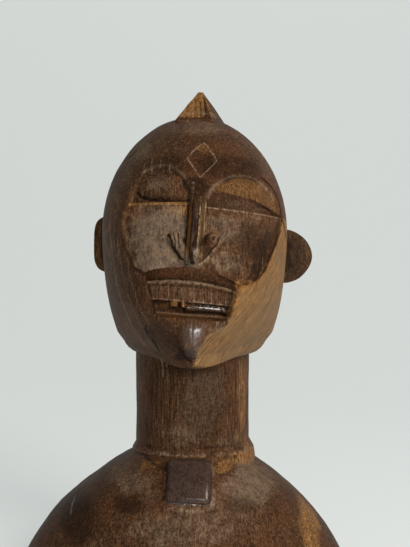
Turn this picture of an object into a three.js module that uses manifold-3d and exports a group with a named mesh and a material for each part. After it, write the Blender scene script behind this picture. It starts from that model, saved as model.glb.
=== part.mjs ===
// Bust of a carved wooden female figure: crested head, long cylindrical neck, shoulders cut flat.
// Millimetres, +Z up, the face looks along -Y, +X is at the right of someone facing it.
// The origin is the middle of the flat underside, straight below the axis of the neck.

import * as THREE from "three";
import { ConvexGeometry } from "three/addons/geometries/ConvexGeometry.js";
import { mergeVertices } from "three/addons/utils/BufferGeometryUtils.js";
import Module from "manifold-3d";

// Heights above the flat underside
const JAW_LEVEL = 164.5;
const WIDEST_LEVEL = 246;
const CROWN_TOP = 332.5;
const SHOULDER_TOP = 95;
const COLLAR_LEVEL = 88.5;

// Head: half width, and how far it reaches before and behind its own middle
const HEAD_HALF_WIDTH = 67.3;
const HEAD_FRONT = 80;
const HEAD_BACK = 72;
const HEAD_X = 1.9;
const HEAD_Y = -8;
const HEAD_BACK_DRIFT = 0.12;
const CROWN_SET_BACK = 12;
const BELOW_HEIGHT = 122;
const BELOW_ROUNDNESS = 2.3;
const CHIN_JUT = 3;
const CHIN_DIP = 4;
const FACE_SQUARENESS = 2.5;
const CROWN_SQUARENESS = 2.1;
const SIDE_SQUARENESS = 1.9;
const CHIN_SQUARENESS = 1.25;
const FACET_HALF_WIDTH = 24;
const FACET_TIP_SHARE = 0.08;
const CHEEK_ROUNDING = 0.35;
const PROW_ROUNDING = 0.1;
const JAW_EDGE = [[0, 1, 1], [3, 0.965, 1], [5.6, 0.91, 0.995], [7.2, 0.84, 0.975], [7.2, 0, 0]];

// Neck and collar
const NECK_RADIUS = 42.2;
const COLLAR_RADIUS = 46.9;
const COLLAR_X = -1.5;
const COLLAR_RISE = 6;
const COLLAR_BAND = 8;

// Shoulders: half sizes of the dome, and how fast its slopes round off
const SHOULDER_HALF_WIDTH = 130;
const SHOULDER_HALF_DEPTH = 76;
const SHOULDER_X = -6.4;
const SHOULDER_DROP = 129;
const SIDE_ROUNDNESS = 1.7;
const FRONT_ROUNDNESS = 3;
const DOME_SQUARENESS = 2.2;

// Square pendant on the front of the collar
const PENDANT_SIDE = 32;
const PENDANT_THICK = 14;
const PENDANT_MIDDLE = [-1.9, -54, 70.3];
const PENDANT_SLOPE = 32;
const PENDANT_ROLL = -3;
const PENDANT_EDGE = 1.6;

// Hollowed cheeks, from the eye ledges down to the mouth
const CHEEK_DEPTH = 3;
const CHEEK_DEPTH_MIDDLE = 1.8;
const CHEEK_SIDE_EXTRA = 1.2;

// Half-moon eyes: middle of the flat lower edge, half width, height and tilt in degrees
const LEFT_EYE = { x: -20.3, z: 263, half: 20.8, rise: 25, tilt: 0, lid: 1.3, slit: 7 };
const RIGHT_EYE = { x: 36.2, z: 257, half: 27.4, rise: 24.5, tilt: -5.8, lid: 1.3, slit: 5 };
const LOWER_LID = { inner: 8, outer: 62.5, rise: 12, depth: 7.6, outerDepth: 5 };

// Nose: a long ridge with two nostril bars in the form of an arrowhead
const NOSE_TOP = 274;
const NOSE_TIP = [0.2, -94.5, 224];
const NOSE_ROOT_X = 4.9;
const NOSE_ROOT_WIDTH = 11;
const NOSE_RIDGE_WIDTH = 6.8;
const NOSE_TIP_TAPER = 0.5;
const NOSE_UNDERCUT = 4;
const NOSTRIL_RADIUS = 4.2;
const LEFT_NOSTRIL = [[-0.9, -89.6, 225.6], [-10.6, -84.5, 238.6]];
const RIGHT_NOSTRIL = [[0.6, -89.6, 225.4], [15.6, -84, 239.6]];

// Mouth: a sunk trapezoid that holds the teeth and the lower lip
const MOUTH_TOP_HALF = 31;
const MOUTH_LOW_HALF = 23.8;
const MOUTH_TOP = 212.6;
const MOUTH_LOW = 188;
const MOUTH_X = 1;
const MOUTH_TILT = -7.5;
const MOUTH_LOW_TILT = -4.7;
const MOUTH_ARCH = 6.7;
const LIP_FRONT = -88;
const LIP_CURVE = 9;
const TOOTH_COUNT = 12;
const TOOTH_LINE = 0.9;
const TOOTH_LINE_DEPTH = 1;

// Forehead lozenge: half width, half height, sunk depth
const LOZENGE = { x: 6.9, z: 292.5, halfWidth: 10.3, halfHeight: 12.6, lean: 2.6, depth: 1 };

// Ears: flat half discs, the one on the left set further back and higher
const EAR_THICK = 9;
const EAR_RIM_THICK = 5;
const RIGHT_EAR = { x: 70.2, y: 8, z: 229.2, radius: 20.2, square: 1.8 };
const LEFT_EAR = { x: -53.2, y: 12, z: 238.4, radius: 21.8, square: 4.2 };

// Crest: a wedge with a three-cornered front facet
const CREST_APEX = [[5, -6, 351.5], [7.4, -5, 351.5]];
const CREST_FRONT = [[-10.3, -26, 329], [14.7, -26, 328.5]];
const CREST_SIDES = [[-8, 8, 331], [22.4, 1, 331.3]];
const CREST_END = [15, 46, 309];
const CREST_SUNK = 24;

// Fineness of the curved surfaces
const AROUND = 60;
const CROWN_RINGS = 12;
const FACE_RINGS = 16;
const NECK_SIDES = 48;
const DOME_RINGS = 9;
const DOME_AROUND = 48;
const EYE_STEPS = 18;
const CHEEK_STEPS = 64;
const FAR_FRONT = -130;

const wasm = await Module();
wasm.setup();

const { clamp, degToRad, lerp, smoothstep } = THREE.MathUtils;

/** Gives a closed three.js geometry as a solid that can be joined and cut. */
function solid(geometry) {
  const bare = geometry.index ? geometry.clone() : mergeVertices(geometry);
  bare.deleteAttribute("normal");
  bare.deleteAttribute("uv");
  const merged = mergeVertices(bare, 1e-3);
  const points = merged.attributes.position.array;
  const corners = Array.from(merged.index.array);
  if (signedVolume(points, corners) < 0) corners.reverse();
  const mesh = { numProp: 3, vertProperties: new Float32Array(points), triVerts: new Uint32Array(corners) };
  return new wasm.Manifold(new wasm.Mesh(mesh));
}

function signedVolume(points, corners) {
  const [a, b, c] = [new THREE.Vector3(), new THREE.Vector3(), new THREE.Vector3()];
  let sum = 0;
  for (let i = 0; i < corners.length; i += 3) {
    a.fromArray(points, corners[i] * 3);
    b.fromArray(points, corners[i + 1] * 3);
    c.fromArray(points, corners[i + 2] * 3);
    sum += a.dot(b.cross(c)) / 6;
  }
  return sum;
}

/** Moves each vertex of a geometry to where a function of its place puts it. */
function shaped(geometry, place) {
  const position = geometry.attributes.position;
  const from = new THREE.Vector3();
  for (let i = 0; i < position.count; i++) {
    from.fromBufferAttribute(position, i);
    position.setXYZ(i, ...place(from.x, from.y, from.z, i));
  }
  return geometry;
}

/** Rings of a sphere grid, each placed by its number, from pole to pole, and by the turn round it. */
function ringed(around, rings, place) {
  const geometry = new THREE.SphereGeometry(1, around, rings);
  return shaped(geometry, (x, y, z, i) => {
    const ring = Math.floor(i / (around + 1));
    const step = (i % (around + 1)) % around;
    return place(ring, (step / around) * 2 * Math.PI, step);
  });
}

/** Power of a signed number, with its sign kept. */
function signedPower(value, power) {
  return Math.sign(value) * Math.abs(value) ** power;
}

/** How far a height lies below the widest level, from 0 to 1 at the jaw. */
function faceDrop(z) {
  return clamp((WIDEST_LEVEL - z) / (WIDEST_LEVEL - JAW_LEVEL), 0, 1);
}

/** Half width, front reach, back reach and squareness of the head at a height. */
function headSection(z) {
  const above = z > WIDEST_LEVEL;
  const share = above ? (z - WIDEST_LEVEL) / (CROWN_TOP - WIDEST_LEVEL) : (WIDEST_LEVEL - z) / BELOW_HEIGHT;
  const power = above ? 2 : BELOW_ROUNDNESS;
  const round = Math.max(1 - share ** power, 0) ** (1 / power);
  const drop = faceDrop(z);
  const low = HEAD_FRONT + CHIN_JUT * Math.sin(Math.PI * 0.75 * drop);
  const half = HEAD_HALF_WIDTH * round;
  const facing = lerp(FACE_SQUARENESS, CROWN_SQUARENESS, smoothstep(z, WIDEST_LEVEL, CROWN_TOP - 30));
  const sides = lerp(facing, SIDE_SQUARENESS, smoothstep(drop, 0, 0.35));
  const square = lerp(sides, CHIN_SQUARENESS, clamp((drop - 0.35) / 0.65, 0, 1));
  const facet = smoothstep(drop, 0, 0.35) * lerp(1, FACET_TIP_SHARE, clamp((drop - 0.6) / 0.38, 0, 1));
  const front = above ? HEAD_FRONT * round : low;
  const flat = (FACET_HALF_WIDTH * facet) / (half || 1);
  const edge = lerp(CHEEK_ROUNDING, PROW_ROUNDING, smoothstep(drop, 0.45, 0.75));
  const blunt = edge * smoothstep(drop, 0, 0.35);
  const middle = HEAD_Y + (above ? CROWN_SET_BACK * share * share : 0);
  return { half, front, back: HEAD_BACK * round, middle, square, flat, blunt };
}

/** How far a section of the head reaches forward, as a share, at a share of its half width. */
function frontCurve(share, { square, flat, blunt }) {
  const beyond = (share - flat) / (1 - flat);
  const softened = (beyond + Math.hypot(beyond, blunt)) / (1 + Math.hypot(1, blunt));
  return (1 - Math.min(softened, 1) ** square) ** (1 / square);
}

/** The y of the head's front surface, before any carving, at a place seen from the front. */
function headFront(x, z) {
  const section = headSection(z);
  const share = Math.min(Math.abs((x - HEAD_X) / section.half), 1);
  return section.middle - section.front * frontCurve(share, section);
}

/** The head as one egg with a prow-like jaw and a flat underside. */
function headSolid() {
  const rings = CROWN_RINGS + FACE_RINGS + JAW_EDGE.length - 1;
  return solid(ringed(AROUND, rings, (ring, turn) => {
    const up = Math.cos((Math.min(ring / CROWN_RINGS, 1) * Math.PI) / 2);
    const down = clamp((ring - CROWN_RINGS) / FACE_RINGS, 0, 1);
    const level = down > 0 ? lerp(WIDEST_LEVEL, JAW_LEVEL, down) : lerp(WIDEST_LEVEL, CROWN_TOP, up);
    const section = headSection(level);
    const [sunk, across, along] = JAW_EDGE[Math.max(ring - CROWN_RINGS - FACE_RINGS, 0)];
    const ahead = Math.cos(turn) > 0;
    const aside = ahead ? signedPower(Math.sin(turn), lerp(1, 2 / section.square, 0.6)) : Math.sin(turn);
    const reach = ahead ? section.front * frontCurve(Math.abs(aside), section) : section.back * Math.cos(turn);
    const y = -reach * along;
    const drift = Math.max(y, 0) * HEAD_BACK_DRIFT;
    const dip = CHIN_DIP * down ** 3 * smoothstep(-y, 32, HEAD_FRONT);
    return [HEAD_X + section.half * aside * across + drift, section.middle + y, level - dip - sunk];
  }));
}

/** A cutter in front of the head: its outline is seen from the front, and floor(x, z) gives its depth. */
function pocket(outline, centre, rings, floor) {
  const around = outline.length;
  return solid(ringed(around, rings + 2, (ring, turn, step) => {
    const [ox, oz] = outline[step];
    const reach = ring === 0 || ring === rings + 2 ? 0 : ring <= 2 ? 1 : 1 - (ring - 2) / rings;
    const x = lerp(centre[0], ox, reach);
    const z = lerp(centre[1], oz, reach);
    return [x, ring <= 1 ? FAR_FRONT : floor(x, z), z];
  }));
}

/** Points of a half moon, its flat edge below, as a carver would mark an eye. */
function halfMoon({ x, z, half, rise, tilt }) {
  const lean = degToRad(tilt);
  const points = [];
  for (let i = 0; i <= EYE_STEPS; i++) {
    const turn = Math.PI * (i / EYE_STEPS);
    points.push([half * Math.cos(turn), rise * Math.sin(turn)]);
  }
  for (let i = 1; i < EYE_STEPS / 2; i++) {
    points.push([lerp(-half, half, (2 * i) / EYE_STEPS), 0]);
  }
  return points.map(([px, pz]) => [
    x + px * Math.cos(lean) - pz * Math.sin(lean),
    z + px * Math.sin(lean) + pz * Math.cos(lean),
  ]);
}

/** An eye cutter: the lid slopes in from the brow to the slit above the cheek's ledge. */
function eyeCut(eye) {
  const centre = [eye.x, eye.z + eye.rise * 0.35];
  return pocket(halfMoon(eye), centre, 4, (x, z) => {
    const base = eye.z + (x - eye.x) * Math.tan(degToRad(eye.tilt));
    const low = 1 - clamp((z - base) / eye.rise, 0, 1);
    return headFront(x, z) + lerp(eye.lid, eye.slit, low ** 2.2);
  });
}

/** A deeper cutter under the right lid, a wedge that runs out at the eye's outer corner. */
function lowerLidCut() {
  const { inner, outer, rise, depth, outerDepth } = LOWER_LID;
  const box = new THREE.BoxGeometry(1, 1, 1, 18, 1, 2);
  return solid(shaped(box, (bx, by, bz) => {
    const share = bx + 0.5;
    const x = lerp(inner, outer, share);
    const base = RIGHT_EYE.z - 0.6 + (x - RIGHT_EYE.x) * Math.tan(degToRad(RIGHT_EYE.tilt));
    const z = base + (bz + 0.5) * rise * (1 - 0.97 * share ** 2.6);
    return [x, by < 0 ? FAR_FRONT : headFront(x, z) + lerp(depth, outerDepth, share ** 2), z];
  }));
}

/** The z of a line across the mouth, from the cheeks' arched lower edge at 0 to the chin's edge at 1. */
function mouthLine(x, share) {
  const aside = (x - MOUTH_X) / MOUTH_TOP_HALF;
  const top = MOUTH_TOP + (x - MOUTH_X) * Math.tan(degToRad(MOUTH_TILT));
  const low = MOUTH_LOW + (x - MOUTH_X) * Math.tan(degToRad(MOUTH_LOW_TILT));
  return lerp(top, low, share) + MOUTH_ARCH * (1 - share) ** 2 * (1 - aside * aside);
}

/** Cutter that hollows both cheeks at once, with its rim as a heart-shaped outline. */
function cheekCut() {
  const rim = new THREE.Path();
  rim.moveTo(63.2, 255.3);
  rim.splineThru([[61, 243], [54, 226], [45, 212], [32, 208.6]].map((p) => new THREE.Vector2(...p)));
  for (let i = 1; i <= 10; i++) {
    const x = lerp(31, -29, i / 10);
    rim.lineTo(x, mouthLine(x, 0.12));
  }
  rim.splineThru([[-38, 220.5], [-42.5, 229], [-44.6, 244], [-45, 255], [-41, 263]].map((p) => new THREE.Vector2(...p)));
  rim.lineTo(0.5, 263);
  rim.lineTo(9, 260);
  rim.lineTo(63.2, 255.3);
  const outline = rim.getSpacedPoints(CHEEK_STEPS).slice(1).map((p) => [p.x, p.y]);
  return pocket(outline, [4, 236], 8, (x, z) => {
    const side = clamp(Math.abs(x - NOSE_ROOT_X) / 55, 0, 1);
    const depth = CHEEK_DEPTH + CHEEK_DEPTH_MIDDLE * (1 - side) ** 2 + CHEEK_SIDE_EXTRA * smoothstep(x, 25, 60);
    return headFront(x, z) + depth;
  });
}

/** The mouth's own front surface, which the teeth and the lip follow. */
function mouthFront(x) {
  const share = (x - MOUTH_X) / MOUTH_TOP_HALF;
  return LIP_FRONT + LIP_CURVE * share * share;
}

/** Rows of the mouth from top to bottom: share of its height, and depth behind its front. */
const MOUTH_ROWS = [
  [0, 5.4], [0.15, 5.6], [0.25, 5.2], [0.278, 1.4], [0.32, 0.3], [0.5, 0], [0.66, 0.2], [0.69, 1],
  [0.715, 5.5], [0.775, 5.5], [0.795, 2.4], [0.84, 1.2], [0.885, 1.8], [0.91, 4], [1, 4.5],
];
const TEETH_TOP = 0.27;
const TEETH_LOW = 0.7;

/** The mouth cutter: rows of grooves and bars, each straight across. */
function mouthCut() {
  const columns = 14;
  const rows = MOUTH_ROWS.length - 1;
  const box = new THREE.BoxGeometry(1, 1, 1, columns, 1, rows);
  return solid(shaped(box, (bx, by, bz) => {
    const [share, depth] = MOUTH_ROWS[Math.round((0.5 - bz) * rows)];
    const half = lerp(MOUTH_TOP_HALF, MOUTH_LOW_HALF, share);
    const x = MOUTH_X + 2 * bx * half;
    return [x, by < 0 ? FAR_FRONT : mouthFront(x) + depth, mouthLine(x, share)];
  }));
}

/** Upright cuts between the teeth. */
function toothCuts() {
  const cuts = [];
  for (let i = 1; i < TOOTH_COUNT; i++) {
    const half = lerp(MOUTH_TOP_HALF, MOUTH_LOW_HALF, 0.5) - 1;
    const x = MOUTH_X + lerp(-half, half, i / TOOTH_COUNT);
    const top = mouthLine(x, TEETH_TOP);
    const low = mouthLine(x, TEETH_LOW);
    const blade = new THREE.CylinderGeometry(TOOTH_LINE, TOOTH_LINE, top - low, 4);
    blade.rotateX(Math.PI / 2);
    blade.translate(x, mouthFront(x) - TOOTH_LINE + TOOTH_LINE_DEPTH, (top + low) / 2);
    cuts.push(solid(blade));
  }
  return cuts;
}

/** The nose ridge: wide at the face, narrow at its front, leaning a little to the left at its tip. */
function noseSolid() {
  const box = new THREE.BoxGeometry(1, 1, 1, 2, 1, 12);
  return solid(shaped(box, (bx, by, bz) => {
    const down = 0.5 - bz;
    const z = lerp(NOSE_TOP, NOSE_TIP[2], down);
    const middle = lerp(NOSE_ROOT_X, NOSE_TIP[0], down ** 1.6);
    const face = headFront(middle, z);
    const ridge = lerp(face + 0.8, NOSE_TIP[1], down ** 1.2) + 2 * down ** 16;
    const front = by < 0;
    const width = (front ? NOSE_RIDGE_WIDTH : NOSE_ROOT_WIDTH) * (1 - NOSE_TIP_TAPER * down ** 8);
    const undercut = front || down < 1 ? 0 : NOSE_UNDERCUT;
    const crown = front && bx === 0 ? 0.8 : 0;
    return [middle + bx * width, front ? ridge - crown : face + 14, z - undercut];
  }));
}

/** A rounded bar between two points. */
function bar([from, to], radius) {
  const start = new THREE.Vector3(...from);
  const along = new THREE.Vector3(...to).sub(start);
  const capsule = new THREE.CapsuleGeometry(radius, along.length(), 3, 10);
  const turn = new THREE.Quaternion().setFromUnitVectors(new THREE.Vector3(0, 1, 0), along.clone().normalize());
  capsule.applyQuaternion(turn);
  capsule.translate(...start.addScaledVector(along, 0.5));
  return solid(capsule);
}

/** A flat ear, thicker at its middle than at its rim. */
function earSolid({ x, y, z, radius, square }) {
  const profile = [[0, -EAR_THICK / 2], [radius * 0.8, -EAR_THICK / 2], [radius, -EAR_RIM_THICK / 2]];
  const mirrored = profile.map(([r, h]) => [r, -h]).reverse();
  const points = [...profile, ...mirrored].map((p) => new THREE.Vector2(...p));
  const disc = shaped(new THREE.LatheGeometry(points, 36), (px, py, pz) => {
    const round = Math.hypot(px, pz) || 1;
    const grow = round / (Math.abs(px) ** square + Math.abs(pz) ** square || 1) ** (1 / square);
    return [px * grow, py, pz * grow];
  });
  disc.translate(x, y, z);
  return solid(disc);
}

/** The crest on the crown, its foot sunk into the head. */
function crestSolid() {
  const foot = [...CREST_FRONT, ...CREST_SIDES].map(([x, y, z]) => [x * 0.8 + 1, y * 0.7, z - CREST_SUNK]);
  const corners = [...CREST_APEX, ...CREST_FRONT, ...CREST_SIDES, CREST_END, ...foot];
  return solid(new ConvexGeometry(corners.map((p) => new THREE.Vector3(...p))));
}

/** The shallow lozenge on the forehead. */
function lozengeCut() {
  const { x, z, halfWidth, halfHeight, lean, depth } = LOZENGE;
  const corners = [[x + lean / 2, z + halfHeight], [x + halfWidth, z - 1], [x - lean / 2, z - halfHeight], [x - halfWidth, z + 1]];
  const outline = corners.flatMap((from, i) => {
    const to = corners[(i + 1) % corners.length];
    return [0, 0.5].map((share) => [lerp(from[0], to[0], share), lerp(from[1], to[1], share)]);
  });
  return pocket(outline, [x, z], 1, (px, pz) => headFront(px, pz) + depth);
}

/** Neck with the collar round its foot, turned on one axis. */
function neckSolid() {
  const lip = COLLAR_RADIUS - NECK_RADIUS;
  const collar = [
    [0, 10], [NECK_RADIUS, 10], [COLLAR_RADIUS + 1, COLLAR_LEVEL - COLLAR_BAND], [COLLAR_RADIUS, COLLAR_LEVEL - 1.5],
    [NECK_RADIUS + lip * 0.75, COLLAR_LEVEL], [NECK_RADIUS + lip * 0.3, COLLAR_LEVEL + COLLAR_RISE * 0.4],
    [NECK_RADIUS - lip * 0.3, COLLAR_LEVEL + COLLAR_RISE], [0, COLLAR_LEVEL + COLLAR_RISE],
  ];
  const ring = new THREE.LatheGeometry(collar.map((p) => new THREE.Vector2(...p)), NECK_SIDES);
  ring.rotateX(Math.PI / 2);
  ring.translate(COLLAR_X, 0, 0);
  const column = new THREE.CylinderGeometry(NECK_RADIUS, NECK_RADIUS, JAW_LEVEL, NECK_SIDES);
  column.rotateX(Math.PI / 2);
  column.translate(0, 0, JAW_LEVEL / 2 + 4);
  return solid(ring).add(solid(column));
}

/** Shoulders as a dome, wide from side to side, cut flat below. */
function shoulderSolid() {
  const rings = DOME_RINGS + 2;
  return solid(ringed(DOME_AROUND, rings, (ring, turn) => {
    const share = ring > DOME_RINGS ? 1 : ring / DOME_RINGS;
    const z = lerp(SHOULDER_TOP, 0, share ** 1.6);
    const height = clamp(1 - (SHOULDER_TOP - z) / SHOULDER_DROP, 0, 1);
    const wide = (1 - height ** SIDE_ROUNDNESS) ** (1 / SIDE_ROUNDNESS);
    const deep = (1 - height ** FRONT_ROUNDNESS) ** (1 / FRONT_ROUNDNESS);
    const shrink = ring === rings ? 0 : 1;
    const power = 2 / DOME_SQUARENESS;
    const x = SHOULDER_HALF_WIDTH * wide * signedPower(Math.sin(turn), power) * shrink;
    const y = -SHOULDER_HALF_DEPTH * deep * signedPower(Math.cos(turn), power) * shrink;
    return [SHOULDER_X * (ring === rings ? 0 : 1) + x, y, z];
  }));
}

/** The square pendant, tilted to lie on the chest. */
function pendantSolid() {
  const half = PENDANT_SIDE / 2 - PENDANT_EDGE;
  const square = new THREE.Shape();
  square.moveTo(-half, -half);
  square.lineTo(half, -half);
  square.lineTo(half, half);
  square.lineTo(-half, half);
  const block = new THREE.ExtrudeGeometry(square, {
    depth: PENDANT_THICK - 2 * PENDANT_EDGE, bevelThickness: PENDANT_EDGE, bevelSize: PENDANT_EDGE, bevelSegments: 3,
  });
  block.translate(0, 0, -PENDANT_THICK / 2);
  block.rotateZ(degToRad(PENDANT_ROLL));
  block.rotateX(Math.PI / 2 - degToRad(PENDANT_SLOPE));
  block.translate(...PENDANT_MIDDLE);
  return solid(block);
}

/** The whole carving as one piece of wood. */
function bustSolid() {
  const face = [LEFT_EYE, RIGHT_EYE].map(eyeCut);
  const cuts = [...face, lowerLidCut(), cheekCut(), mouthCut(), lozengeCut()];
  const head = cuts.reduce((left, cut) => left.subtract(cut), headSolid());
  const toothed = toothCuts().reduce((left, cut) => left.subtract(cut), head);
  const added = [
    noseSolid(), bar(LEFT_NOSTRIL, NOSTRIL_RADIUS), bar(RIGHT_NOSTRIL, NOSTRIL_RADIUS), crestSolid(),
    earSolid(LEFT_EAR), earSolid(RIGHT_EAR), neckSolid(), shoulderSolid(), pendantSolid(),
  ];
  return added.reduce((whole, piece) => whole.add(piece), toothed);
}

/** A solid's surface as a three.js geometry. */
function surface(made) {
  const mesh = made.getMesh();
  const geometry = new THREE.BufferGeometry();
  geometry.setAttribute("position", new THREE.BufferAttribute(new Float32Array(mesh.vertProperties), 3));
  geometry.setIndex(new THREE.BufferAttribute(new Uint32Array(mesh.triVerts), 1));
  geometry.computeVertexNormals();
  return geometry;
}

const wood = new THREE.MeshStandardMaterial({ color: 0x553d2d, roughness: 0.6, metalness: 0 });
const bust = new THREE.Mesh(surface(bustSolid()), wood);
bust.name = "figure_bust";

const figure = new THREE.Group();
figure.add(bust);

export default figure;
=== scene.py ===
import functools
import itertools
import math

import bpy
import numpy as np
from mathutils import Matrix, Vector


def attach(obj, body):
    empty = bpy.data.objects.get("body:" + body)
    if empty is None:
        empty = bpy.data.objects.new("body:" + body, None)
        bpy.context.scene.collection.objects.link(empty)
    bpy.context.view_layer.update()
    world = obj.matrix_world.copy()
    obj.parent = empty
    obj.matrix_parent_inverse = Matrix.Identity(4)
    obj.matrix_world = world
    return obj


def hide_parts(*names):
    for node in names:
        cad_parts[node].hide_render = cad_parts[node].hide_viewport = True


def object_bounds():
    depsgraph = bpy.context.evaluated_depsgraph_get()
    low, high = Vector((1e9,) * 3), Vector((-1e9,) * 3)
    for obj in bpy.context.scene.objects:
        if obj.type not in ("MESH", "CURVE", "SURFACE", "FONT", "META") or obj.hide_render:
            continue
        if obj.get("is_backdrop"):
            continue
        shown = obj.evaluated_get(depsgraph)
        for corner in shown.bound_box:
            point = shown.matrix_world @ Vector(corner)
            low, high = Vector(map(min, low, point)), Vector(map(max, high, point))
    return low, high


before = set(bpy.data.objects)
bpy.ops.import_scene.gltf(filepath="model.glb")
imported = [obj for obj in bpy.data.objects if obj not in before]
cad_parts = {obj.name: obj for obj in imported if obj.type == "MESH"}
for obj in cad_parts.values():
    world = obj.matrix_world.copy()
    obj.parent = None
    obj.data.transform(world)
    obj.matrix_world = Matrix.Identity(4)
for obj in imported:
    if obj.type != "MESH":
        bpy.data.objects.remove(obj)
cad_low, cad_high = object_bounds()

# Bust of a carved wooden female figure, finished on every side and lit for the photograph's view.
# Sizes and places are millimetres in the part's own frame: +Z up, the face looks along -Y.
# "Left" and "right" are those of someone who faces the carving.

MM = 0.001
NODE = "figure_bust"

# Heights above the flat underside
JAW_LEVEL = 164.5
WIDEST_LEVEL = 246
CROWN_TOP = 332.5
SHOULDER_TOP = 95
COLLAR_LEVEL = 88.5

# Head
HEAD_HALF_WIDTH = 67.3
HEAD_FRONT = 80
HEAD_BACK = 72
HEAD_X = 1.9
HEAD_Y = -8
HEAD_BACK_DRIFT = 0.12
CROWN_SET_BACK = 12
BELOW_HEIGHT = 122
BELOW_ROUNDNESS = 2.3
CHIN_JUT = 3
CHIN_DIP = 4
FACE_SQUARENESS = 2.5
CROWN_SQUARENESS = 2.1
SIDE_SQUARENESS = 1.9
CHIN_SQUARENESS = 1.25
FACET_HALF_WIDTH = 24
FACET_TIP_SHARE = 0.08
CHEEK_ROUNDING = 0.35
PROW_ROUNDING = 0.1
# Rings of the jaw's underside, from its edge to its middle: how far sunk, and shares of width and depth
JAW_SUNK = [0, 3, 5.6, 7.2, 7.2]
JAW_ACROSS = [1, 0.955, 0.89, 0.81, 0]
JAW_ALONG = [1, 1, 0.995, 0.975, 0]
JAW_CORNER = 0.05

# Neck, collar and shoulders
NECK_RADIUS = 42.2
COLLAR_RADIUS = 45.4
COLLAR_X = 0.6
COLLAR_RISE = 6
COLLAR_BAND = 8
SHOULDER_HALF_WIDTH = 130
SHOULDER_HALF_DEPTH = 76
SHOULDER_X = -6.4
SHOULDER_DROP = 129
SIDE_ROUNDNESS = 1.7
FRONT_ROUNDNESS = 3
DOME_SQUARENESS = 2.2
# Share of the dome's rings that lie above its flat underside
DOME_SHARE = 0.86
LEFT_SLOPE = 3.2

# Square pendant
PENDANT_SIDE = 31
PENDANT_THICK = 14
PENDANT_MIDDLE = (-1.7, -53.4, 71.2)
PENDANT_SLOPE = 32
PENDANT_ROLL = -3
PENDANT_EDGE = 3.4

# Cheeks
CHEEK_DEPTH = 3
CHEEK_DEPTH_MIDDLE = 1.8
CHEEK_SIDE_EXTRA = 1.2
CHEEK_SPREAD = 55
CHEEK_RIGHT_RIM = [(63.2, 255.3), (61, 243), (54, 226), (45, 212), (32, 208.6)]
CHEEK_LEFT_RIM = [(-29, 216.2), (-38, 220.5), (-42.5, 229), (-44.6, 244), (-45, 255), (-41, 263)]

# Eyes: middle of the flat lower edge, half widths left and right of it, roundness of the right
# half, height, and tilt in degrees
LEFT_EYE = {"x": -20.3, "z": 263, "half": 20.8, "outer": 20.8, "round": 2, "rise": 25, "tilt": 0}
RIGHT_EYE = {"x": 36.2, "z": 257, "half": 27.4, "outer": 25.6, "round": 1.6, "rise": 24.5, "tilt": -5.8}
# Lower edge of the right eyelid, from its inner to its outer end, and its rise above the flat edge
LID_EDGE = {"inner": 8, "outer": 62.5, "rise": 11.4}
# Slit along the left eye's flat edge
SLIT = [(-35.9, 270.2), (-33.5, 267.2), (-29, 265.6), (-24, 264.9), (-17, 264.5), (-9, 263.9), (0, 263.5)]

# Nose: a long ridge with two nostril bars in the form of an arrowhead
NOSE_TOP = 276
NOSE_TIP = (1.4, -94.2, 222.5)
NOSE_ROOT_X = 4.9
NOSE_HALF_RIDGE = 2.3
NOSE_HALF_FOOT = 6.1
# Long knife cuts down the nose: place across it, half width and depth
NOSE_CUTS = [(-3, 0.8, 0.7), (1.2, 0.7, 0.55), (4.4, 0.7, 0.4)]
# Each bar's way, its width at both ends, its height at the outer end and the depth of its grooves
NOSTRILS = [
    ([(0.6, 224.8), (-4.6, 229.6), (-11, 239.4)], (0.8, 1.05), 0.62, 0.55),
    ([(1.2, 224.8), (8, 230.4), (16.4, 239.8)], (0.9, 1), 0.72, 0),
]
NOSTRIL_HALF = 4.3
NOSTRIL_PROUD = 5.2

# Mouth
MOUTH_TOP_HALF = 31
MOUTH_LOW_HALF = 23.8
MOUTH_TOP = 212.6
MOUTH_LOW = 188
MOUTH_X = 1
MOUTH_TILT = -7.5
MOUTH_LOW_TILT = -4.2
MOUTH_ARCH = 6.7
LIP_FRONT = -88
LIP_CURVE = 9
# Shares of the mouth's height from the cheeks to the chin, each with its depth behind the mouth's front
MOUTH_STEPS = [
    (0, 1), (0.04, 1.8), (0.19, 5), (0.225, 5.2), (0.25, 1.4), (0.34, 0.7), (0.5, 0.5), (0.625, 0.9),
    (0.65, 1.4), (0.66, 4.6), (0.67, 4.6), (0.685, 2), (0.7, 1.4), (0.76, 1), (0.8, 1.6), (0.85, 4.4),
    (0.9, 4.2), (0.95, 0.6), (0.985, -2), (1, -2.8),
]
LIP_TURN = 0.1
TOOTH_PILLOW = 0.35
BROKEN_LIP_ENDS_X = -3.5
TOOTH_MIDDLE_X = 1.5
TOOTH_SPREAD = 27.5
TOOTH_TURN = 0.213
TOOTH_LEAN = 0.07
TEETH_TOP = 0.335
TEETH_LOW = 0.645

# Front of the chin, seen from the front
CHIN_FRONT = [
    (24.4, 186.5), (18.5, 179.8), (11.2, 176), (5.5, 166.8), (2.5, 157.9), (1.5, 150), (-40, 150), (-34, 190),
]
CHIN_PROUD = 0.9
CHIN_ROUNDING = 1.1

# Lozenge on the forehead
LOZENGE_DEPTH = 0.6
LOZENGE = {"x": 7.5, "z": 292.2, "half_width": 9.9, "half_height": 12.8, "lean": 2.4, "skew": 1}

# Ears
EAR_THICK = 9
EAR_RIM_THICK = 5
RIGHT_EAR = {"x": 70.2, "y": 8, "z": 229.2, "radius": 20.2, "square": 1.8}
LEFT_EAR = {"x": -53.2, "y": 12, "z": 238.4, "radius": 21.8, "square": 4.2}

# Crest: its corners round the foot, and the short edge at its top
CREST_FOOT = [(-12.2, -28.6, 326), (15.6, -28.5, 325.6), (24.2, 1.8, 328.8), (15, 46, 309), (-8.6, 9, 330.4)]
CREST_TOP = [(4.6, -6, 351.5), (7.8, -5, 351.5)]
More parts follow.
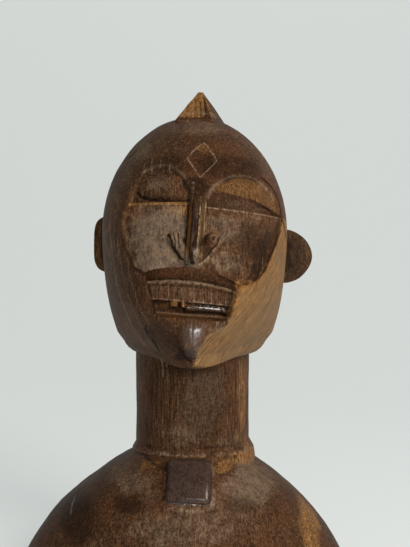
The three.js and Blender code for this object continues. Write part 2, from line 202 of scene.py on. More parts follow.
# Which of the cone's corners, counted round it, goes to each corner of the foot
CREST_TURNS = [3, 2, 1, 0, 4]
CREST_SUNK = 24
CREST_EDGE = 0.7

# Lines seen from the front, left by knife, cracks and wear, with dark lines that are painted shadows and pale
# ones that are painted highlights: half width, strength and way of each
CRACKS = [
    (0.6, 0.8, [(-30, 181), (-29.4, 177.5), (-28.2, 176)]),
    (0.7, 0.9, [(-25.8, 171.6), (-23.8, 168.6), (-23.2, 165.8), (-21.7, 163)]),
    (0.8, 0.9, [(-7.7, 167.4), (-4.6, 164.6), (-3.2, 161), (0.3, 158.4)]),
    (0.4, 0.6, [(-11.5, 166), (-8.2, 163.5)]),
    (0.4, 0.6, [(-19, 178), (-17, 174.8)]),
    (0.4, 0.6, [(-35, 196), (-34, 190), (-33.6, 186)]),
    (0.5, 0.8, [(-38.5, 305), (-39.3, 302), (-44, 298)]),
    (0.6, 0.8, [(2.4, 345), (1.8, 329)]),
    (0.8, 0.9, [(6, 342), (6.4, 329)]),
    (0.7, 0.8, [(8.2, 347), (10.2, 330)]),
    (0.4, 0.5, [(-4, 338), (-6, 330)]),
]
DARK_LINES_AND_SHADOWS = [
    # Painted shadow: the dark band that the nose casts on its left
    (1.3, 0.6, [(-1, 264), (-2.6, 250), (-4, 236)]),
    (1.4, 0.95, [(3.6, 251), (3.8, 243), (2.6, 234)]),
    (1.5, 0.9, [(0.8, 229), (1.2, 223)]),
    (0.5, 0.7, [(7.6, 262), (7.4, 250), (7.2, 239)]),
    (0.9, 0.7, [(7, 233), (11, 236.5), (14, 239)]),
    (0.7, 0.8, [(18.9, 240.5), (17.2, 235), (12, 229)]),
    (0.45, 0.9, [(-13.2, 241.5), (-12, 235)]),
    (0.45, 0.9, [(-11, 242.6), (-9.6, 233.5)]),
    (0.5, 0.9, [(-8.3, 242.2), (-7.4, 233.5)]),
    (1.0, 0.9, [(-14.4, 241.5), (-11.5, 234), (-6, 225.8), (-2.4, 221.6)]),
    (0.8, 0.7, [(7.2, 237.8), (12.2, 242.2)]),
    (0.9, 0.9, [(15.4, 240.2), (14.6, 238.6)]),
    # Painted shade under the right lid's overhanging lower edge, its outer part
    (0.9, 0.8, [(43.4, 262.2), (50.8, 260.5), (57.6, 254.8)]),
    (0.8, 1.0, [(-35.9, 270.5), (-33.5, 267.2), (-29, 265.8)]),
    (2.4, 0.6, [(-30, 266.6), (-20, 265.8), (-10, 265.6)]),
    (0.8, 0.55, [(-12, 264.6), (-5, 264.1), (-0.5, 264.6)]),
    (1.3, 0.8, [(-44, 236), (-42.6, 229), (-38, 220.5), (-30.6, 215.5)]),
    (1.0, 0.8, [(-29.2, 214), (-26.5, 203), (-23.4, 190)]),
    # Painted shade under the right lid's lower edge, its inner part
    (1.1, 0.6, [(20.5, 269), (28, 266), (35, 264.5), (43, 262.5)]),
    # Painted shadow inside the right cheek's raised rim
    (2.4, 0.7, [(60, 250), (57.2, 240), (53.2, 230), (47.8, 221), (43, 214.5), (36, 210.6)]),
    (0.6, 0.7, [(11.5, 187), (22, 185.4)]),
    (1.6, 0.8, [(-37, 87), (-28, 83.5), (-19, 80.5)]),
    # Painted shadow down the pendant's left side
    (1.0, 0.7, [(-19.5, 87), (-19.8, 72), (-19.2, 55)]),
    (0.8, 0.6, [(-33, 161), (-25, 158.5), (-10, 155.5)]),
]
PALE_LINES_AND_HIGHLIGHTS = [
    (0.4, 0.55, [(1.6, 276), (2, 269.5)]),
    # Painted highlight along the lower edges of the nostril bars
    (0.55, 0.9, [(-6.3, 224.6), (0, 220.8), (6.1, 221.8), (12.7, 227.4), (19.7, 237.6)]),
    # Painted highlights along the pendant's right and lower edges
    (0.7, 0.7, [(14.8, 84), (15.2, 70), (14.8, 57.5)]),
    (0.7, 0.6, [(14, 56.4), (-2, 55.4), (-17, 57.2)]),
    (0.5, 0.6, [(10.2, 262.5), (9.6, 259.8)]),
    (0.8, 0.5, [(-8, 331.2), (4, 332.6), (18, 331.8)]),
    (0.5, 0.36, [(-55.7, 243), (-52.9, 222), (-48.7, 201), (-41.7, 182), (-31.9, 166)]),
    (0.45, 0.32, [(-50.1, 239.5), (-45.9, 215), (-39.6, 194), (-30.5, 173), (-22.1, 162.5)]),
    (0.4, 0.35, [(-42.4, 224), (-38.9, 208), (-34, 194), (-27.7, 182)]),
    (0.45, 0.4, [(-66, 33), (-68, 26), (-69, 20)]),
]
# Light lines that are scratched into the wood as well
SCRATCHES = [
    (0.4, 0.7, [(-26.6, 294.5), (-26.9, 288), (-26.6, 283)]),
    (0.35, 0.5, [(-31.6, 291), (-32, 284)]),
    (0.35, 0.5, [(-20.4, 293), (-20.6, 287)]),
    (0.35, 0.5, [(-14.2, 290), (-13.9, 283)]),
    (0.45, 0.8, [(-20.6, 158), (-20.2, 150), (-20.5, 143)]),
    (0.35, 0.5, [(-17.5, 156), (-17.3, 140)]),
    (0.35, 0.5, [(-20.8, 112), (-20.4, 96)]),
    (0.6, 0.9, [(-85, 53.5), (-86.2, 49), (-85.6, 45.5)]),
]
# Dark line beside the right eye, down to the ear, with a finer one on each side
HAIRLINE = [
    (48.5, 281.5), (52.9, 278.5), (56.5, 274.6), (59.8, 268.5), (61.9, 261.5), (62.8, 255.2), (64.9, 249.9),
    (67, 242.6), (68.4, 236),
]
HAIRLINE_GAP = 2
# Right side of the jaw, pale and rubbed bare, its grain leaning
BARE_JAW = [
    (62, 254.4), (80, 252.7), (102, 226), (102, 137), (2.2, 155.8), (5.5, 166.8), (11.2, 176), (24.3, 182.9),
    (24.1, 187), (31.8, 203.3), (32.6, 206.5), (38.2, 208.1), (44.3, 211.7), (46.7, 217), (52.2, 224.4),
    (55.5, 229.9), (58.9, 240.3), (61, 249),
]
# Patches seen from the front: middle, half width, half height and strength of each
DUST = [
    (-20, 240, 27, 24, 0.88), (-26, 228, 14, 13, 0.9), (-9, 223, 19, 8, 0.88), (21, 246, 14, 12, 0.62),
    (32, 226, 13, 9, 0.3), (24, 222, 15, 8, 0.6), (4, 319, 29, 9, 0.5), (-29, 310, 17, 10, 0.35),
    (-13, 301, 14, 9, 0.25), (38, 311, 15, 10, 0.35), (-55, 225, 9, 36, 0.42), (-44, 176, 9, 15, 0.35),
    (-16, 276, 14, 9, 0.25), (40, 252, 14, 6, 0.4), (7, 128, 20, 34, 0.5), (-5, 102, 15, 11, 0.5),
    (27, 97, 13, 8, 0.4), (-1, 44, 50, 16, 0.52), (-45, 73, 22, 9, 0.6), (43, 69, 26, 15, 0.75),
    (23, 61, 12, 15, 0.4), (77, 42, 15, 15, 0.2), (-30, 68, 10, 12, 0.35), (-38, 303, 16, 13, 0.68),
    (-52, 290, 12, 22, 0.5), (-52, 268, 9, 20, 0.35), (-3.4, 231.5, 2, 4, 1), (54, 292, 8, 14, 0.3),
    (19, 180, 8, 6, 0.5), (-10, 181, 18, 5, 0.35), (-20, 277, 14, 8, 0.42), (44, 238, 16, 16, 0.3),
    (24, 243, 18, 14, 0.45), (30, 52, 22, 12, 0.45), (36, 261, 22, 6, 0.4),
]
SOOT = [
    (9, 291, 8, 11, 0.55), (27, 288, 34, 14, 0.7), (-16, 288, 22, 12, 0.62),
    (22, 272, 9, 4, 0.4), (4, 268, 8, 13, 0.65), (3.5, 273, 11, 10, 0.8), (46, 231, 10, 13, 0.85),
    (38, 238, 15, 17, 0.62), (45, 219, 10, 7, 0.85), (11, 233, 8, 7, 0.75), (52, 236, 6, 14, 0.7),
    (-16, 175, 20, 14, 0.65), (-4, 162, 10, 5, 0.8), (2, 172, 9, 12, 0.5), (-33, 205, 5, 15, 0.45),
    (-49, 256, 5, 14, 0.25), (-16, 268, 17, 3.5, 0.4), (-30, 125, 6, 44, 0.5),
    (18, 136, 14, 24, 0.5), (10, 126, 24, 40, 0.6), (21, 109, 8, 11, 0.45), (-1, 150, 30, 7, 0.7),
    (-11, 130, 3, 30, 0.4), (-78, 44, 20, 20, 0.75), (-1, 57, 18, 4, 0.3), (34, 57, 15, 8, 0.6),
    (-43, 58, 16, 8, 0.7), (-28, 62, 8, 12, 0.45), (51, 73, 8, 4, 0.3), (75, 28, 8, 11, 0.3),
]
BARE = [
    (8, 301, 7, 4.5, 0.45), (-35, 255, 10, 6, 0.5), (-8, 258, 8, 4, 0.6), (34, 274, 20, 8, 0.65),
    (55, 264.5, 4, 8, 0.7), (-53, 262, 6, 24, 0.4), (37, 207.5, 8, 3.4, 1.2), (16.2, 241.2, 4, 3.2, 1.3),
    (-17, 195, 9, 2.6, 0.55), (34, 206, 5.5, 3.5, 1), (67, 240, 5, 15, 0.8), (60, 215, 8, 11, 0.6),
    (19, 171, 10, 7, 0.35), (36, 124, 5, 38, 0.5), (40, 93, 4, 7, 0.5), (84, 42, 10, 28, 0.7),
    (39, 82, 13, 5, 0.8), (23, 81, 9, 3.5, 0.7), (-30, 83, 10, 3, 0.4),
]
CHIPS = [(-11, 196.6, 3, 1.8, 1), (-4.9, 196, 1.5, 2.6, 1), (-8, 197.4, 1.3, 1.2, 0.7)]
GLOSS = [
    (2.4, 176, 7.5, 11, 1), (1.4, 169, 5, 9, 0.9), (3.2, 229.6, 2.4, 2, 1), (0, 60, 13, 3.5, 0.8),
    (9, 64, 4, 8, 0.5),
]

# Bare wood along cuts: half width, strength and way of each
BARE_LINES = [
    (0.8, 1, [(2.2, 242), (0.6, 236), (-0.9, 230)]),
    (2.4, 1.2, [(31.6, 206), (29.4, 198), (26.4, 190)]),
]

# Wavering of drawn lines and of soft patches: reach, length of a wave, and seed
HAND_WAVER = (0.55, 3.6, 21)
SOFT_WAVER = (2.4, 11, 23)
# Worn edges: rounds of smoothing that they are told by, and how far a fully worn one stands out
EDGE_ROUNDS = 6
EDGE_REACH = 0.5
# What is painted where there is no line, and the largest value that is painted
NOWHERE = 99
LARGEST = 400

# Fineness of the skin, and how many triangles are kept behind and below and on the carved front
VOXEL = 0.65
PLAIN_TRIANGLES = 76000
CARVED_TRIANGLES = 118000

# Colours, in linear light
DEEP_WOOD = (0.025, 0.0095, 0.0035, 1)
MIDDLE_WOOD = (0.078, 0.039, 0.019, 1)
RED_WOOD = (0.085, 0.03, 0.0115, 1)
BARE_DEEP = (0.13, 0.055, 0.018, 1)
BARE_PALE = (0.3, 0.15, 0.046, 1)
BARE_SHADE = (0.09, 0.042, 0.018, 1)
RUBBED_DEEP = (0.085, 0.045, 0.02, 1)
RUBBED_PALE = (0.256, 0.148, 0.062, 1)
DUST_COOL = (0.132, 0.096, 0.07, 1)
DUST_WARM = (0.182, 0.122, 0.076, 1)
# Near black: Soot, painted shade and painted shadows
SOOT_AND_SHADE_WOOD = (0.011, 0.0055, 0.0035, 1)
STONE_DEEP = (0.022, 0.0125, 0.0115, 1)
STONE_PALE = (0.06, 0.04, 0.034, 1)
LID_DEEP = (0.07, 0.031, 0.0105, 1)
LID_PALE = (0.115, 0.056, 0.021, 1)
FLECK = (0.135, 0.082, 0.05, 1)
# Pale lines: dust in cuts and scratches, and painted highlights along some edges
PALE_LINE = (0.3, 0.21, 0.14, 1)
SHEEN = (1, 0.6, 0.36, 1)
# Stripes down the nose: place across it, half width and colour
NOSE_STRIPES = [
    (3.7, 1.6, (0.15, 0.09, 0.035, 1)),
    (-4.2, 1.3, (0.19, 0.075, 0.02, 1)),
    (-0.6, 2, (0.04, 0.022, 0.018, 1)),
]
CREST_SOOT = 0.75
# The grain of the jaw's right side leans to the right as it rises
GRAIN_LEAN = math.radians(36)

# The photograph's view
VIEW_FROM = (9.4, -675, 216)
LENS = 59.2
SENSOR_WIDTH = 36

# Studio, in metres
FLOOR_SIZE = (9, 5, 1)
FLOOR_PLACE = (0, -0.5, 0)
WALL_HEIGHT = 3
WALL_CURVE = 1.2
FLOOR_TONE = (0.36, 0.38, 0.375)
FLOOR_GLOW = 1.25
WORLD_TONE = (1, 0.93, 0.84)
WORLD_STRENGTH = 0.2
# Lamps: place, target, size, power and tone
WINDOW = ((0.95, -1.15, 0.85), (0, 0, 0.2), 0.7, 26, (1, 0.95, 0.88))
LOW_CARD = ((0.08, -1.6, 0.04), (0, 0, 0.18), 0.28, 7, (0.9, 0.97, 1))


def clamp(value):
    return np.clip(value, 0, 1)


def rising(value, low, high):
    """A soft step from 0 to 1 as a value goes from low to high."""
    share = clamp((value - low) / (high - low))
    return share * share * (3 - 2 * share)


def fading(value, full, gone):
    """A soft step down: 1 up to full, 0 from gone on."""
    return rising(-value, -gone, -full)


def between(value, low, full, still, gone):
    """1 from full to still, 0 below low and above gone."""
    return rising(value, low, full) * fading(value, still, gone)


def lerp(start, end, share):
    return start + (end - start) * share


def signed_power(value, power):
    return np.sign(value) * np.abs(value) ** power


def mode(name):
    bpy.ops.object.mode_set(mode=name)


def alone(piece):
    """Makes a piece the only one that is selected, and the active one."""
    bpy.ops.object.select_all(action="DESELECT")
    piece.select_set(True)
    bpy.context.view_layer.objects.active = piece


def named(name):
    """Gives the primitive that was just added its name."""
    piece = bpy.context.active_object
    piece.name = name
    piece.data.name = name
    return piece


def modify(piece, name, kind, **settings):
    """Puts a modifier on a piece and applies it."""
    made = piece.modifiers.new(name, kind)
    for setting, value in settings.items():
        setattr(made, setting, value)
    alone(piece)
    bpy.ops.object.modifier_apply(modifier=made.name)


def extrude(up, grow=(1, 1, 1)):
    """Extrudes what is selected upwards, and sizes the new end."""
    bpy.ops.mesh.extrude_region_move(TRANSFORM_OT_translate={"value": (0, 0, up)})
    bpy.ops.transform.resize(value=grow)


def face_outwards():
    """Turns all faces outwards and leaves edit mode."""
    bpy.ops.mesh.select_all(action="SELECT")
    bpy.ops.mesh.normals_make_consistent(inside=False)
    mode("OBJECT")


def edit_all():
    """In edit mode afterwards, with everything selected."""
    mode("EDIT")
    bpy.ops.mesh.select_all(action="SELECT")


def fine_sphere(name, around, rings, levels):
    """A unit sphere, its faces divided into four as many times as the levels say."""
    bpy.ops.mesh.primitive_uv_sphere_add(segments=around, ring_count=rings, radius=1)
    piece = named(name)
    modify(piece, "finer", "SUBSURF", subdivision_type="SIMPLE", levels=levels, render_levels=levels)
    unit = points_of(piece) * MM
    return piece, unit / np.linalg.norm(unit, axis=1)[:, None]


def points_of(piece):
    """A piece's points in millimetres, a row each."""
    flat = np.empty(len(piece.data.vertices) * 3)
    piece.data.vertices.foreach_get("co", flat)
    return flat.reshape(-1, 3) / MM


def put_points(piece, points):
    piece.data.vertices.foreach_set("co", (np.asarray(points, float) * MM).ravel())
    piece.data.update()


def select_where(piece, wanted):
    """In edit mode afterwards, with the faces selected whose middle and normal are wanted."""
    alone(piece)
    mode("EDIT")
    bpy.ops.mesh.select_mode(type="FACE")
    bpy.ops.mesh.select_all(action="DESELECT")
    mode("OBJECT")
    for face in piece.data.polygons:
        face.select = bool(wanted(face.center / MM, face.normal))
    mode("EDIT")


def lumps(places, seed):
    """Smooth uneven heights from -1 to 1, about one lump to each unit of length."""
    side = 32
    lattice = np.random.default_rng(seed).uniform(-1, 1, (side, side, side))
    base = np.floor(places).astype(int)
    part = places - base
    part = part * part * (3 - 2 * part)
    total = np.zeros(len(places))
    for corner in itertools.product((0, 1), repeat=3):
        cell = (base + corner) % side
        weight = np.prod(np.where(corner, part, 1 - part), axis=1)
        total += weight * lattice[cell[:, 0], cell[:, 1], cell[:, 2]]
    return total


def spline(points, steps=8):
    """Points along a smooth curve through the given ones."""
    held = np.array([points[0], *points, points[-1]], float)
    made = []
    for a, b, c, d in zip(held, held[1:], held[2:], held[3:]):
        for i in range(steps):
            t = i / steps
            made.append(b + 0.5 * t * (c - a + t * (2 * a - 5 * b + 4 * c - d + t * (3 * (b - c) + d - a))))
    made.append(held[-2])
    return np.array(made)


def from_line(places, path):
    """Distance of places from a line of points, and the share of the way along it."""
    path = np.asarray(path, float)
    lengths = np.linalg.norm(np.diff(path, axis=0), axis=1)
    before = np.concatenate([[0], np.cumsum(lengths)])
    nearest = np.full(len(places), np.inf)
    share = np.zeros(len(places))
    for start, end, length, gone in zip(path, path[1:], lengths, before):
        along = clamp((places - start) @ (end - start) / length ** 2)
        away = np.linalg.norm(places - start - along[:, None] * (end - start), axis=1)
        closer = away < nearest
        nearest = np.where(closer, away, nearest)
        share = np.where(closer, (gone + along * length) / before[-1], share)
    return nearest, share


def from_front(x, z):
    return np.stack([x, z], axis=1)


def inside(x, z, outline):
    """Distance from a closed outline seen from the front, positive inside it."""
    away, _ = from_line(from_front(x, z), [*outline, outline[0]])
    within = np.zeros(x.shape, bool)
    for (ax, az), (bx, bz) in zip(outline, np.roll(outline, -1, axis=0)):
        if az != bz:
            within ^= ((az > z) != (bz > z)) & (x < ax + (z - az) / (bz - az) * (bx - ax))
    return np.where(within, away, -away)


def head_section(z):
    """The head's level section at heights: its half width, reach, middle, squareness, flat and bluntness."""
    above = z > WIDEST_LEVEL
    up = (z - WIDEST_LEVEL) / (CROWN_TOP - WIDEST_LEVEL)
    share = clamp(np.where(above, up, (WIDEST_LEVEL - z) / BELOW_HEIGHT))
    power = np.where(above, 2, BELOW_ROUNDNESS)
    rounding = (1 - share ** power) ** (1 / power)
    drop = clamp((WIDEST_LEVEL - z) / (WIDEST_LEVEL - JAW_LEVEL))
    low_front = HEAD_FRONT + CHIN_JUT * np.sin(math.pi * 0.75 * drop)
    half = np.maximum(HEAD_HALF_WIDTH * rounding, 1e-6)
    facing = lerp(FACE_SQUARENESS, CROWN_SQUARENESS, rising(z, WIDEST_LEVEL, CROWN_TOP - 30))
    sides = lerp(facing, SIDE_SQUARENESS, rising(drop, 0, 0.35))
    square = lerp(sides, CHIN_SQUARENESS, clamp((drop - 0.35) / 0.65))
    facet = rising(drop, 0, 0.35) * lerp(1, FACET_TIP_SHARE, clamp((drop - 0.6) / 0.38))
    edge = lerp(CHEEK_ROUNDING, PROW_ROUNDING, rising(drop, 0.45, 0.75))
    return {
        "half": half,
        "front": np.where(above, HEAD_FRONT * rounding, low_front),
        "back": HEAD_BACK * rounding,
        "middle": HEAD_Y + np.where(above, CROWN_SET_BACK * share * share, 0),
        "square": square,
        "flat": FACET_HALF_WIDTH * facet / half,
        "blunt": edge * rising(drop, 0, 0.35),
    }


def front_curve(share, section):
    """How far a section reaches forward, as a share, at a share of its half width."""
    beyond = (share - section["flat"]) / (1 - section["flat"])
    softened = (beyond + np.hypot(beyond, section["blunt"])) / (1 + np.hypot(1, section["blunt"]))
    return (1 - clamp(softened) ** section["square"]) ** (1 / section["square"])


def head_front(x, z):
    """The y of the uncarved front of the head at places seen from the front."""
    section = head_section(z)
    share = np.minimum(np.abs((x - HEAD_X) / section["half"]), 1)
    return section["middle"] - section["front"] * front_curve(share, section)


def mouth_arch(x):
    """How far the mouth's upper edge arches above a straight line."""
    return MOUTH_ARCH * clamp(1 - ((x - MOUTH_X) / MOUTH_TOP_HALF) ** 2)


def mouth_line(x, share):
    """The z of a line across the mouth, from the cheeks' edge at 0 to the chin's edge at 1."""
    top = MOUTH_TOP + (x - MOUTH_X) * math.tan(math.radians(MOUTH_TILT))
    low = MOUTH_LOW + (x - MOUTH_X) * math.tan(math.radians(MOUTH_LOW_TILT))
    return lerp(top, low, share) + mouth_arch(x) * (1 - share) ** 2


def mouth_share(x, z):
    """The line across the mouth that a place lies on: the inverse of mouth_line."""
    arch, low = mouth_arch(x), mouth_line(x, 1)
    tall = mouth_line(x, 0) - arch - low
    return 1 - 2 * (z - low) / (tall + np.sqrt(np.maximum(tall * tall + 4 * arch * (z - low), 0)))


def mouth_sides(x, share):
    """Distance in from the mouth's slanting sides."""
    return lerp(MOUTH_TOP_HALF, MOUTH_LOW_HALF, share) - np.abs(x - MOUTH_X)


def mouth_front(x):
    return LIP_FRONT + LIP_CURVE * ((x - MOUTH_X) / MOUTH_TOP_HALF) ** 2


def tooth_number(x, z):
    """Counts teeth across the mouth; the cuts lie at whole numbers."""
    across = (x + TOOTH_LEAN * (z - MOUTH_TOP) - TOOTH_MIDDLE_X) / TOOTH_SPREAD
    return np.arcsin(np.clip(across, -1, 1)) / TOOTH_TURN


def cheek_outline():
    """The heart-shaped rim of both cheeks, clockwise from the right eye's outer corner."""
    under = [(x, mouth_line(x, 0.06)) for x in np.linspace(31, -28, 24)]
    top = [(0.5, LEFT_EYE["z"]), (9, 260)]
    return [*spline(CHEEK_RIGHT_RIM), *under, *spline(CHEEK_LEFT_RIM), *top]


def eye_frame(eye, x, z):
    """Place in an eye's own frame: across it, above its flat edge, and distance in from its arc."""
    lean = math.radians(eye["tilt"])
    across = (x - eye["x"]) * math.cos(lean) + (z - eye["z"]) * math.sin(lean)
    above = (z - eye["z"]) * math.cos(lean) - (x - eye["x"]) * math.sin(lean)
    right = across > 0
    power = np.where(right, eye["round"], 2)
    wide = np.abs(across) / np.where(right, eye["outer"], eye["half"])
    size = (wide ** power + (np.maximum(above, 0) / eye["rise"]) ** power) ** (1 / power)
    return across, above, (1 - size) * eye["rise"]


def upper_lid_edge(x):
    """The z of the right lid's lower edge."""
    share = clamp((x - LID_EDGE["inner"]) / (LID_EDGE["outer"] - LID_EDGE["inner"]))
    base = RIGHT_EYE["z"] + (x - RIGHT_EYE["x"]) * math.tan(math.radians(RIGHT_EYE["tilt"]))
    return base + LID_EDGE["rise"] * (1 - share ** 2.6)


def nose_middle(z):
    """The x of the nose's ridge at a height, and the share of the way down to its tip."""
    down = clamp((NOSE_TOP - z) / (NOSE_TOP - NOSE_TIP[2]))
    return lerp(NOSE_ROOT_X, NOSE_TIP[0], down ** 1.6), down


def blend(surface, target, mask):
    return surface + (target - surface) * mask


def carve_cheeks(x, z, face, y):
    rim = inside(x, z, cheek_outline())
    side = clamp(np.abs(x - NOSE_ROOT_X) / CHEEK_SPREAD)
    extra = CHEEK_SIDE_EXTRA * rising(x, 25, 60)
    depth = CHEEK_DEPTH + CHEEK_DEPTH_MIDDLE * (1 - side) ** 2 + extra
    crisp = rising(x, -30, -10)
    return blend(y, face + depth, rising(rim, lerp(-1.6, -0.5, crisp), lerp(2.2, 0.9, crisp)))


def carve_left_eye(x, z, face, y):
    """A sunk half round with a swelling lid and a slit along its flat edge."""
    _, above, arc = eye_frame(LEFT_EYE, x, z)
    low = 1 - clamp(above / LEFT_EYE["rise"])
    bulge = rising(arc, 0, 9) * rising(above, 0.5, 7)
    lid = 1.9 + 3.6 * low ** 3 - 1.1 * bulge
    away, along = from_line(from_front(x, z), spline(SLIT))
    slit = 1.7 * fading(away, 0.3, 1.6) * (1 - rising(along, 0.3, 0.85))
    crisp = between(x, -39, -30, -7, 0)
    mask = rising(arc, lerp(-3.2, -1.3, crisp), lerp(4.5, 1.8, crisp)) * rising(above, -0.45, 0.55)
    return blend(y, face + lid + slit, mask)


def carve_right_eye(x, z, face, y):
    """A sunk half round with a lid above and a deeper band below it."""
    _, above, arc = eye_frame(RIGHT_EYE, x, z)
    edge = z - upper_lid_edge(x)
    bulge = rising(arc, 0, 8) * rising(edge, -1, 6)
    lid = 2.3 - 1.2 * bulge
    outwards = rising(x, 30, 54)
    band = lerp(3.4, 6.2, outwards) - lerp(-1, 1.2, outwards) * fading(edge, -9, -2)
    depth = lerp(band, lid, rising(edge, -0.45, 0.45))
    mask = rising(arc, -0.9, 1.2) * rising(above, -0.45, 0.55)
    return blend(y, face + depth, mask)


def carve_mouth(x, z, y):
    """Steps in from the cheeks to the teeth and out to the lower lip, whose left part is broken off."""
    share = mouth_share(x, z)
    depth = np.interp(share, *np.transpose(MOUTH_STEPS))
    depth = depth * (1 - 0.65 * rising(x, 14, 30) * fading(share, 0.22, 0.25))
    depth = depth - 1.2 * rising(x, 22, 31)
    broken = fading(x, BROKEN_LIP_ENDS_X - 0.8, BROKEN_LIP_ENDS_X + 0.8)
    lip = between(share, 0.67, 0.7, 0.85, 0.88)
    stubs = 3.4 * (np.abs(x + 4.9) < 1.2) + 3 * (np.abs(x + 11) < 2.2)
    stubs = stubs * fading(share, 0.75, 0.79)
    depth = depth + (1 - broken) * lip * LIP_TURN * (x - 7)
    depth = depth + broken * lip * (4.5 - depth) - broken * stubs * rising(share, 0.655, 0.675)
    tooth = tooth_number(x, z)
    cut = np.abs(tooth - np.round(tooth))
    teeth = between(share, TEETH_TOP, TEETH_TOP + 0.03, TEETH_LOW - 0.03, TEETH_LOW)
    depth = depth - TOOTH_PILLOW * teeth * rising(cut, 0, 0.3)
    fillet = rising(x, -8, 2) * (np.abs(share - 0.262) < 0.017)
    depth = depth - 0.7 * fillet
    right = rising(x, 0, 8)
    sides = rising(mouth_sides(x, share), lerp(-0.7, -1.8, right), lerp(0.9, 4.8, right))
    mask = sides * rising(share, -0.02, 0.02) * fading(share, 0.985, 1.02)
    return blend(y, mouth_front(x) + depth, mask)


def raise_nose(x, z, y):
    """A ridge that stands out more and more towards its tip, with the knife's cuts down it."""
    middle, down = nose_middle(z)
    face = head_front(middle, z)
    ridge = lerp(face + 0.5, NOSE_TIP[1], down ** 1.2)
    aside = np.abs(x - middle)
    taper = 1 - 0.35 * rising(down, 0.7, 1)
    ridge_half = NOSE_HALF_RIDGE * taper
    foot_half = NOSE_HALF_FOOT * taper
    straight = clamp((aside - ridge_half) / (foot_half - ridge_half))
    side = rising(aside, ridge_half, foot_half) * 0.55 + 0.45 * straight
    crown = 0.5 * clamp(1 - (aside / ridge_half) ** 2)
    out = x - middle
    for at, half, deep in NOSE_CUTS:
        crown = crown - deep * fading(np.abs(out - at), half * 0.3, half)
    tip = rising(z, NOSE_TIP[2] - 1.2, NOSE_TIP[2] + 3.5)
    top = fading(z, NOSE_TOP - 13, NOSE_TOP)
    nose = blend(y, ridge - crown, (1 - side) * tip * top)
    return np.minimum(y, nose)


def raise_nostrils(x, z, y):
    """The arrowhead's two bars, the left one with fine grooves at its outer end."""
    raised = y
    for way, widths, end, deep in NOSTRILS:
        away, along = from_line(from_front(x, z), spline(way))
        half = NOSTRIL_HALF * lerp(*widths, along)
        grooves = deep * (np.cos((x + 11) * 2.0) > 0.55) * rising(along, 0.35, 0.6)
        bar = NOSTRIL_PROUD * np.sqrt(clamp(1 - (away / half) ** 2.6)) * lerp(1, end, along) - grooves
        raised = np.minimum(raised, y - np.maximum(bar, 0))
    return raised


def raise_chin(x, z, y):
    """The dark front of the chin stands a little proud of the right side of the jaw."""
    proud = rising(inside(x, z, CHIN_FRONT), -0.7, 0.7) * rising(x, -26, 2)
    ridge = np.exp(-((x - 2.6) / 9) ** 2) * rising(z, 155, 170) * fading(z, 180, 190)
    return y - CHIN_PROUD * proud - CHIN_ROUNDING * ridge


def carved_front(x, z):
    """The y of the finished face at places seen from the front."""
    face = head_front(x, z)
    y = carve_cheeks(x, z, face, face)
    y = carve_left_eye(x, z, face, y)
    y = carve_right_eye(x, z, face, y)
    y = raise_nostrils(x, z, y)
    y = raise_nose(x, z, y)
    y = raise_chin(x, z, y)
    y = carve_mouth(x, z, y)
    return y + LOZENGE_DEPTH * fading(lozenge_share(x, z), 0.94, 1.02)


def lozenge_share(x, z):
    """1 on the lozenge's edge, less inside it."""
    up = z - LOZENGE["z"]
    out = x - LOZENGE["x"]
    across = (out - LOZENGE["lean"] / 2 * up / LOZENGE["half_height"]) / LOZENGE["half_width"]
    above = (up + LOZENGE["skew"] * out / LOZENGE["half_width"]) / LOZENGE["half_height"]
    power = np.where(above > 0, 1.2, 1)
    return (np.abs(across) ** power + np.abs(above) ** power) ** (1 / power)


def head_blank():
    """The head as one egg with a prow-like jaw, its face carved in."""
    crown_rings, face_rings, jaw_rings = 54, 42, 8
    rings = crown_rings + face_rings + jaw_rings
    piece, unit = fine_sphere("head", 190, rings, 2)
    ring = np.arccos(np.clip(unit[:, 2], -1, 1)) / math.pi * rings
    turn = np.arctan2(unit[:, 0], -unit[:, 1])
    up = np.cos(np.minimum(ring / crown_rings, 1) * math.pi / 2)
    down = clamp((ring - crown_rings) / face_rings)
    level = np.where(down > 0, lerp(WIDEST_LEVEL, JAW_LEVEL, down), lerp(WIDEST_LEVEL, CROWN_TOP, up))
    section = head_section(level)
    jaw = clamp((ring - crown_rings - face_rings) / jaw_rings) * (len(JAW_SUNK) - 1)
    steps = range(len(JAW_SUNK))
    sunk = np.interp(jaw, steps, JAW_SUNK)
    across = np.interp(jaw, steps, JAW_ACROSS) * (1 - JAW_CORNER * rising(down, 0.88, 1))
    along = np.interp(jaw, steps, JAW_ALONG)
    ahead = np.cos(turn) > 0
    power = np.where(ahead, lerp(1, 2 / section["square"], 0.6), 1)
    aside = signed_power(np.sin(turn), power)
    forward = section["front"] * front_curve(np.abs(aside), section)
    reach = np.where(ahead, forward, section["back"] * np.cos(turn))
    x = HEAD_X + section["half"] * aside * across
    carved = (ahead & (jaw == 0)).nonzero()[0]
    depth = np.zeros(len(x))
    depth[carved] = carved_front(x[carved], level[carved]) - head_front(x[carved], level[carved])
    y = -reach * along
    dip = CHIN_DIP * down ** 3 * rising(-y, 32, HEAD_FRONT)
    x = x + np.maximum(y, 0) * HEAD_BACK_DRIFT
    put_points(piece, np.stack([x, section["middle"] + y + depth, level - dip - sunk], axis=1))
    return piece


